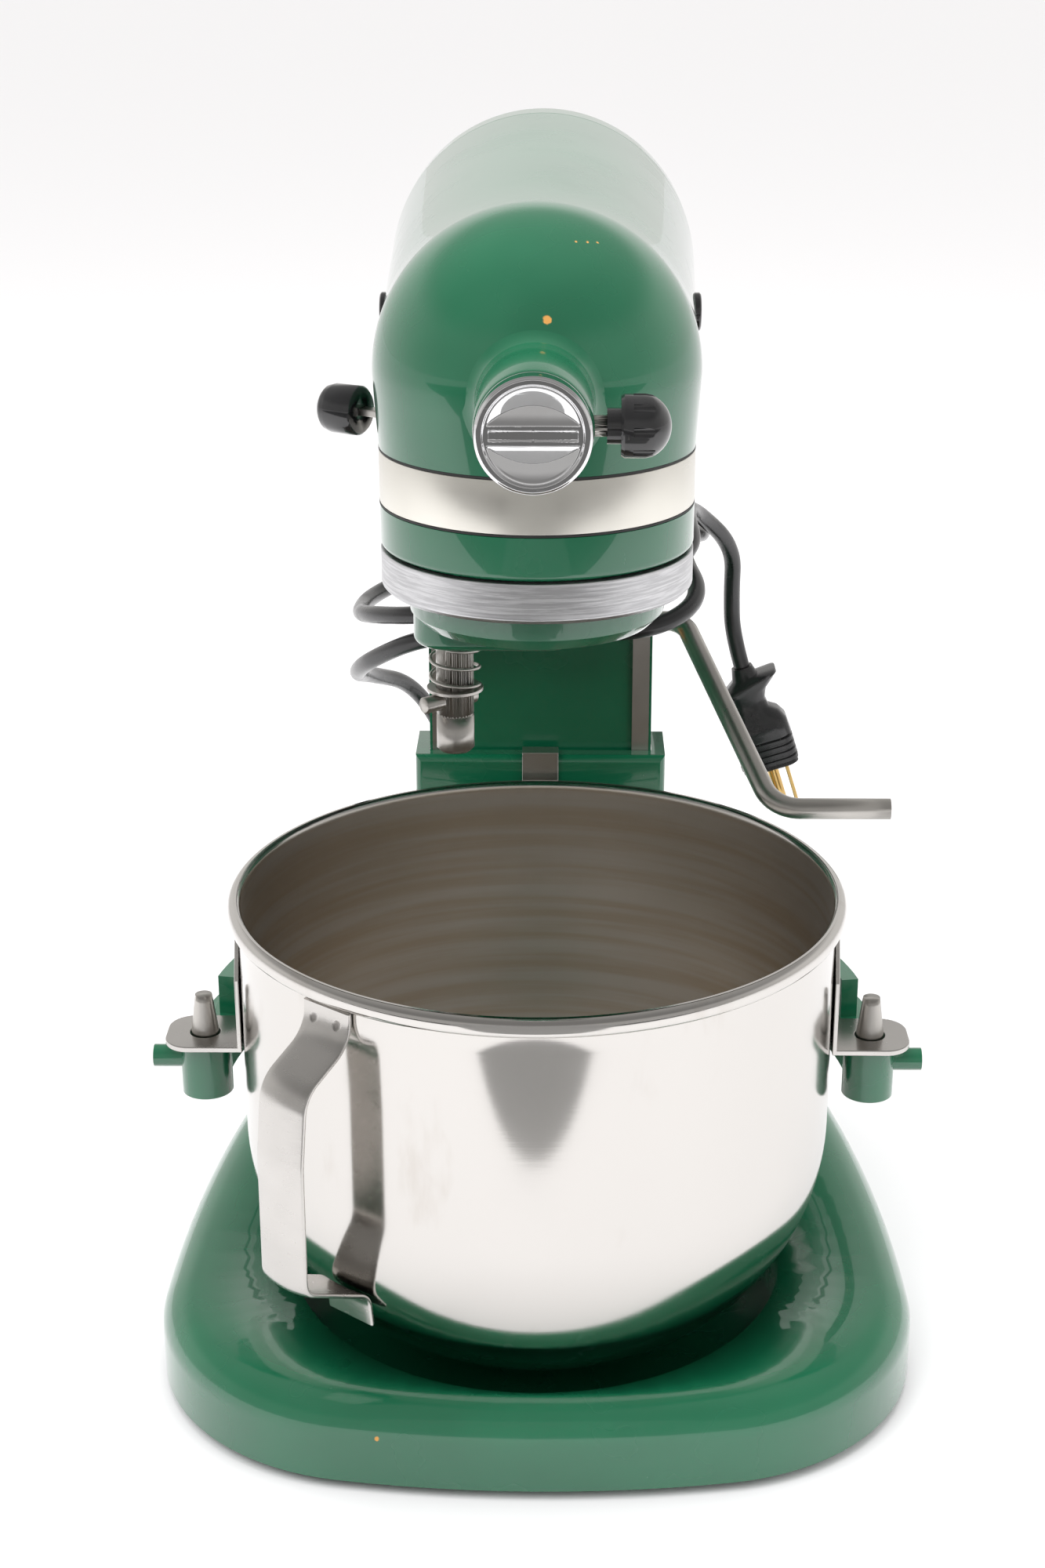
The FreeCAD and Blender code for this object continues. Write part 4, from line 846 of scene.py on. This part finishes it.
def handle_steel():
    """Brushed strip steel with two spot welds at its top."""
    size = bpy.context.scene.mixer_sizes
    colour = tuple(c * 0.92 for c in bpy.context.scene.mixer_colours.steel)
    finish = Finish("handle_steel", colour, 1, 0.26)
    lines = finish.noise(1, 4, (120, 120, 500), roughness=0.75)
    out, across = compass(-90 - size.handle_angle)
    where = finish.place()
    weld, height = None, BOWL_TOP - size.bead_tall - 6
    for side in (-5, 5):
        centre = out * (size.bowl_radius + 1.6) + across * side + Vector((0, 0, height))
        dip = 1 - finish.distance(where, centre).between(0.9 * MM, 2.1 * MM)
        weld = dip if weld is None else weld.most(dip)
    finish.set("Base Color", finish.mix(weld * 0.75, finish.tinted(18, 0.08), (0.16, 0.15, 0.14, 1)))
    finish.set("Roughness", 0.2 + lines * 0.12 + weld * 0.15)
    finish.bump(lines * 0.2 - weld * 6, 0.1, 0.6)
    return finish.material


# ---------------------------------------------------------------- cord and plug

CORD_POINTS = (
    (42, 232, 288), (44, 235, 264), (56, 243, 236), (44, 247, 198), (38, 246, 158), (35, 244, 121),
    (34, 242, 89), (15, 242, 70), (-13, 242, 70), (-32, 242, 89), (-36, 241, 118), (-42, 237, 150),
    (-56, 222, 180), (-72, 190, 194), (-75, 154, 206), (-66, 122, 222), (-43, 101, 238), (-8, 99, 241),
    (24, 97, 240), (48, 99, 243), (62, 119, 249), (55, 150, 256), (58, 178, 257), (68, 202, 252),
    (58, 225, 244), (28, 232, 238), (-12, 229, 235), (-48, 217, 232), (-70, 188, 229), (-73, 156, 231),
    (-66, 125, 239), (-45, 100, 246), (-8, 97, 252), (30, 95, 258), (59, 115, 267), (56, 149, 274),
    (61, 178, 268), (79, 200, 247), (79, 206, 224), (80, 206, 206), (86, 206, 187))


def make_cord():
    size = bpy.context.scene.mixer_sizes
    curve = bpy.data.curves.new("power_lead", "CURVE")
    curve.dimensions = "3D"
    curve.bevel_depth = size.cord_radius * MM
    curve.bevel_resolution = 8
    curve.resolution_u = 14
    curve.use_fill_caps = True
    line = curve.splines.new("NURBS")
    line.points.add(len(CORD_POINTS) - 1)
    for point, where in zip(line.points, CORD_POINTS):
        point.co = (*placed(where), 1)
    line.order_u = 3
    line.use_endpoint_u = True
    return new_object("power_lead", curve)


def make_relief():
    """The tapered sleeve round the cord where it leaves the end cover."""
    base, ahead = Vector(CORD_POINTS[0]), Vector(CORD_POINTS[1])
    up = (base - ahead).normalized()
    cord = bpy.context.scene.mixer_sizes.cord_radius
    profile = [(cord + 0.1, -14), (cord + 0.9, -14)]
    for rib in range(6):
        foot = -12 + rib * 4.0
        wide = cord + 1.3 + rib * 0.35
        profile += [(wide - 0.6, foot), (wide, foot + 0.4), (wide, foot + 2.2), (wide - 0.6, foot + 2.6)]
    profile += [(cord + 3, 13), (cord + 5, 14), (cord + 5, 17), (cord + 0.1, 17)]
    return turned("cord_sleeve", profile, base, up, 48, hollow=True)


def plug_frame():
    base, before = Vector(CORD_POINTS[-1]), Vector(CORD_POINTS[-2])
    return base, (base - before).normalized()


def make_plug():
    """A moulded plug: a finger flange that leans, a waisted neck, a broad shoulder and grip ribs."""
    base, down = plug_frame()
    grip, groove = (12.5, 9.4, 5.4, 0, 0), (11.7, 8.8, 5.2, 0, 0)
    neck = [(-6, 4.4, 4.4, 4, 0, 0), (-1.5, 5.6, 5.2, 4.4, 0, 0.1)]
    flange = [(0.2, 10.6, 7, 5, -0.6, 0.24), (0.9, 12.6, 7.8, 5.4, -0.8, 0.26),
              (2.1, 12.7, 7.9, 5.4, -0.8, 0.24), (3.2, 11.4, 7.2, 5.2, -0.4, 0.2)]
    waist = [(5.6, 8.4, 6.4, 4.8, 0.8, 0.1), (9, 7.2, 6.1, 4.6, 1.4, 0), (13, 7.6, 6.5, 4.8, 1.2, 0)]
    shoulder = [(16.5, 10, 7.8, 5.2, 0.2, 0.1), (20, 12, 9, 5.4, 0, 0.05), (26, *grip)]
    ribs = []
    for foot in (27 + rib * 2.9 for rib in range(4)):
        ribs += [(foot, *groove), (foot + 0.5, *grip), (foot + 2, *grip), (foot + 2.4, *groove)]
    face = [(39.4, 12, 9, 4.8, 0, 0), (40, 11.2, 8.2, 4.6, 0, 0)]
    return lofted("plug_grip", neck + flange + waist + shoulder + ribs + face, base, down, 45)


# ---------------------------------------------------------------- node trees

def node_tree(name, inputs):
    """An empty geometry tree with named inputs, its input sockets and its node maker."""
    tree = bpy.data.node_groups.new(name, "GeometryNodeTree")
    for label, kind, default in inputs:
        socket = tree.interface.new_socket(name=label, in_out="INPUT", socket_type=kind)
        socket.default_value = default
    tree.interface.new_socket(name="Geometry", in_out="OUTPUT", socket_type="NodeSocketGeometry")
    source = tree.nodes.new("NodeGroupInput")
    return tree, source.outputs, node_maker(tree)


def finish_tree(tree, add, geometry, finish):
    real = add("GeometryNodeRealizeInstances", Geometry=geometry)
    dressed = add("GeometryNodeSetMaterial", Geometry=real.outputs[0], Material=finish)
    end = tree.nodes.new("NodeGroupOutput")
    tree.links.new(dressed.outputs[0], end.inputs[0])


def grown(name, tree, **values):
    """Runs a geometry tree on an empty mesh, with its inputs set by name, and keeps the plain mesh."""
    piece = new_object(name, bpy.data.meshes.new(name))
    modifier = piece.modifiers.new("Shape", "NODES")
    modifier.node_group = tree
    for item in tree.interface.items_tree:
        label = item.name.replace(" ", "_").lower()
        if item.in_out == "INPUT" and label in values:
            modifier[item.identifier] = values[label]
    evaluated(piece)
    piece.data.shade_smooth()
    piece.data.set_sharp_from_angle(angle=math.radians(40))
    return piece


def spring_tree(finish):
    """A round wire along a helix."""
    number = "NodeSocketFloat"
    tree, sizes, add = node_tree("beater_spring_wire", [
        ("Turns", number, 3.0), ("Coil", number, 0.008), ("Height", number, 0.012), ("Wire", number, 0.0007)])
    coil = add("GeometryNodeCurveSpiral", Resolution=40, Rotations=sizes["Turns"], Start_Radius=sizes["Coil"],
               End_Radius=sizes["Coil"], Height=sizes["Height"])
    section = add("GeometryNodeCurvePrimitiveCircle", Resolution=12, Radius=sizes["Wire"])
    wire = add("GeometryNodeCurveToMesh", Curve=coil.outputs[0], Profile_Curve=section.outputs[0],
               Fill_Caps=True)
    finish_tree(tree, add, wire.outputs[0], finish)
    return tree


def moved(piece, matrix):
    piece.data.transform(matrix)
    return piece


# ---------------------------------------------------------------- operators

class Builder(bpy.types.Operator):
    """Common part of the operators that build pieces."""

    bl_options = {"REGISTER", "UNDO"}

    def execute(self, context):
        self.build(context.scene.mixer_sizes)
        return {"FINISHED"}


class MIXER_OT_head(Builder):
    """Head shell, hub boss, gear case, trim band and end cover"""

    bl_idname = "mixer.head"
    bl_label = "Head"

    def build(self, size):
        shell = make_head_shell()
        stands_for(shell, "motor_housing")
        stands_for(make_hub_boss(), "hub_sleeve")
        stands_for(make_gear_case(), "gear_case")
        stands_for(make_end_cover(), "end_cover")
        low, high, deep, line_half = BAND_LOW + 0.6, BAND_HIGH - 0.6, 1.3, 0.35
        profile = softened([(0, low, 0.3), (0, high, 0.3), (deep, high, 0), (deep, low, 0)], steps=3)
        stands_for(band_ring("trim_strip", profile), "trim_band")
        # Thin black strips fill the seams above and below the trim band: painted shade in the seams, in the
        # black rubber finish.
        for name, z in (("trim_line_low", BAND_LOW + 0.25), ("trim_line_high", BAND_HIGH - 0.15)):
            line = band_ring(name, [(-0.05, z - line_half), (-0.05, z + line_half), (deep, z + line_half),
                                    (deep, z - line_half)])
            line.data.materials.append(material_of("black_rubber"))
            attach(line, "root")


class MIXER_OT_bowl(Builder):
    """Bowl, handle, ears and tab"""

    bl_idname = "mixer.bowl"
    bl_label = "Bowl"

    def build(self, size):
        make_bowl()
        strip = handle_steel()
        stands_for(make_handle(), "bowl_handle", finish=strip)
        for node in ("bowl_ears", "bowl_tab"):
            stands_for(copied(node, 0.35), node, finish=strip)


class MIXER_OT_castings(Builder):
    """Base, column, yoke and planetary casting"""

    bl_idname = "mixer.castings"
    bl_label = "Castings"

    def build(self, size):
        for node, edge in (("base", 0), ("column", 1.2), ("yoke", 1.2), ("planetary_carrier", 0.8)):
            stands_for(copied(node, edge), node)
        foot, top = span("column")
        edge, wide, front, back = size.column_strip, 6.5, foot.y - 0.08, foot.y + 0.5
        build = bmesh.new()
        for low, high in ((-edge - wide, -edge), (edge, edge + wide)):
            outline = [(low, front), (high, front), (high, back), (low, back)]
            lattice(build, [[(x, y, z) for x, y in outline] for z in (foot.z + 42, top.z - 0.6)],
                    around=True, first_cap=True, last_cap=True)
        strips = closed_mesh("column_slideways", build)
        strips.data.materials.append(material_of("bare_steel"))
        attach(strips, "root")


class MIXER_OT_controls(Builder):
    """Knobs, levers, hub cap and beater shaft"""

    bl_idname = "mixer.controls"
    bl_label = "Controls"

    def build(self, size):
        for node, edge in (("hub_knob", 0.3), ("speed_knob", 0), ("hub_stud", 0),
                           ("speed_lever", 0.3), ("lift_lever", 0), ("bowl_pins", 0), ("bowl_latch", 0.3),
                           ("beater_shaft", 0), ("beater_pin", 0), ("beater_washer", 0.2), ("drip_ring", 0.4),
                           ("brush_caps", 0.3), ("base_feet", 0.6), ("end_cover_screw", 0.2)):
            stands_for(copied(node, edge), node)
        stands_for(make_hub_cap(), "hub_cap")
        low, high = span("beater_spring")
        coil = (high.x - low.x) / 2 - size.spring_wire
        spring = grown("beater_coil_spring", spring_tree(material_of("bare_steel")), turns=size.spring_turns,
                       coil=coil * MM, height=(high.z - low.z - 2 * size.spring_wire) * MM,
                       wire=size.spring_wire * MM)
        moved(spring, Matrix.Translation(placed((BEATER_X, 0, low.z + size.spring_wire))))
        stands_for(spring, "beater_spring")


class MIXER_OT_lead(Builder):
    """Power cord, its sleeve and its plug"""

    bl_idname = "mixer.lead"
    bl_label = "Lead"

    def build(self, size):
        plug = stands_for(make_plug(), "plug_body")
        blades = stands_for(copied("plug_blades", 0.3), "plug_blades")
        relief = stands_for(make_relief(), "strain_relief")
        cord = stands_for(make_cord(), "power_cord")
        tuple(placed(CORD_POINTS[0]))


class MIXER_OT_insides(Builder):
    """Finishes of the pieces that keep their frame shape"""

    bl_idname = "mixer.insides"
    bl_label = "Inner pieces"

    def build(self, size):
        for node, piece in frame["nodes"].items():
            piece.data.materials.clear()
            piece.data.materials.append(material_of(SLOT_OF[node]))


FLOOR_REACH = 25000
LENS, SENSOR, SHIFT = 55.65, 36, -0.0093
EYE_AWAY, EYE_HEIGHT = 772.2, 505.45
EYE_TURN, EYE_PITCH = 0.64, 20.52


def make_card(name, tone, corners):
    """A grey sheet that the camera doesn't see. It darkens reflections; the dark floor also stops light."""
    build = bmesh.new()
    build.faces.new([build.verts.new(placed(corner)) for corner in corners])
    card = closed_mesh(name, build)
    card.data.materials.append(Finish(name, (tone,) * 3, 0, 0.9).material)
    card.visible_camera = card.visible_shadow = False
    card.visible_diffuse = name == "dark_floor"


def studio_world():
    """A bright ceiling for diffuse light; reflections show a bright rear wall and a grey room in front."""
    world = bpy.data.worlds.new("studio")
    world.use_nodes = True
    tree = world.node_tree
    add = node_maker(tree)

    def ramp(value, low, high, first, last):
        return add("ShaderNodeMapRange", {"interpolation_type": "SMOOTHSTEP"}, Value=value, From_Min=low,
                   From_Max=high, To_Min=first, To_Max=last).outputs["Result"]

    where = add("ShaderNodeTexCoord").outputs["Generated"]
    _, back, up = add("ShaderNodeSeparateXYZ", Vector=where).outputs
    wall = ramp(back, -0.5, 0.5, 0.5, 0.82)
    ceiling = ramp(up, 0.36, 0.62, 1.0, 0.5)
    seen = add("ShaderNodeMath", {"operation": "MULTIPLY"})
    tree.links.new(wall, seen.inputs[0])
    tree.links.new(ceiling, seen.inputs[1])
    cast = ramp(up, 0.05, 0.75, 0.16, 1.4)
    glossy = add("ShaderNodeLightPath").outputs["Is Glossy Ray"]
    strength = add("ShaderNodeMix", Factor=glossy, A=cast, B=seen.outputs[0])
    background = tree.nodes["Background"]
    background.inputs["Color"].default_value = (1, 0.985, 0.965, 1)
    tree.links.new(strength.outputs["Result"], background.inputs["Strength"])
    return world


class MIXER_OT_stage(bpy.types.Operator):
    """Floor, soft lights and camera"""

    bl_idname = "mixer.stage"
    bl_label = "Stage"

    def execute(self, context):
        reach = FLOOR_REACH
        floor = grid_piece("floor", [[(x, y, 0) for x in (-reach, reach)] for y in (-reach, reach)])
        paint = Finish("pale_floor", context.scene.mixer_colours.floor, 0, 0.55)
        floor.data.materials.append(paint.material)
        for name, tone, corners in (
                ("dark_floor", 0.1, [(-4000, -4000, 2), (4000, -4000, 2), (4000, -640, 2), (-4000, -640, 2)]),
                ("dark_stand", 0.42, [(x, -310, z) for x, z in arc(0, 150, 138, 0, 354, 59)])):
            make_card(name, tone, corners)
        context.scene.world = studio_world()
        context.scene.view_settings.view_transform = "Standard"
        for name, where, aim, side, power in (
                ("key", (-900, -900, 1500), (0, 40, 200), 1100, 15),
                ("fill", (1200, -700, 900), (0, 40, 200), 900, 5),
                ("top", (0, 300, 1700), (0, 80, 300), 1400, 12)):
            lamp = bpy.data.lights.new(name, "AREA")
            lamp.energy, lamp.size = power, side * MM
            lit = bpy.data.objects.new(name, lamp)
            lit.visible_glossy = False
            context.scene.collection.objects.link(lit)
            lit.location = placed(where)
            lit.rotation_euler = (placed(aim) - placed(where)).to_track_quat("-Z", "Y").to_euler()
        camera = bpy.data.cameras.new("view")
        camera.lens, camera.sensor_width, camera.shift_x = LENS, SENSOR, SHIFT
        eye = bpy.data.objects.new("view", camera)
        context.scene.collection.objects.link(eye)
        turn = math.radians(EYE_TURN)
        eye.location = placed((EYE_AWAY * math.sin(turn), -EYE_AWAY * math.cos(turn), EYE_HEIGHT))
        eye.rotation_euler = (math.pi / 2 - math.radians(EYE_PITCH), 0, turn)
        context.scene.camera = eye
        return {"FINISHED"}


class MIXER_PT_panel(bpy.types.Panel):
    """Sidebar panel with the sizes, colours and build steps"""

    bl_idname = "MIXER_PT_panel"
    bl_label = "Stand Mixer"
    bl_space_type = "VIEW_3D"
    bl_region_type = "UI"
    bl_category = "Mixer"

    def draw(self, context):
        for group in (context.scene.mixer_sizes, context.scene.mixer_colours):
            for name in group.__annotations__:
                self.layout.prop(group, name)
        for step in STEPS:
            self.layout.operator(step.bl_idname)


STEPS = (MIXER_OT_insides, MIXER_OT_head, MIXER_OT_bowl, MIXER_OT_castings, MIXER_OT_controls, MIXER_OT_lead,
         MIXER_OT_stage)
CLASSES = (MixerSizes, MixerColours) + STEPS + (MIXER_PT_panel,)


def register():
    for kind in CLASSES:
        bpy.utils.register_class(kind)
    bpy.types.Scene.mixer_sizes = bpy.props.PointerProperty(type=MixerSizes)
    bpy.types.Scene.mixer_colours = bpy.props.PointerProperty(type=MixerColours)


def unregister():
    del bpy.types.Scene.mixer_colours
    del bpy.types.Scene.mixer_sizes
    for kind in reversed(CLASSES):
        bpy.utils.unregister_class(kind)


def main():
    register()
    for step in STEPS:
        group, name = step.bl_idname.split(".")
        getattr(getattr(bpy.ops, group), name)()


if __name__ == "__main__":
    main()
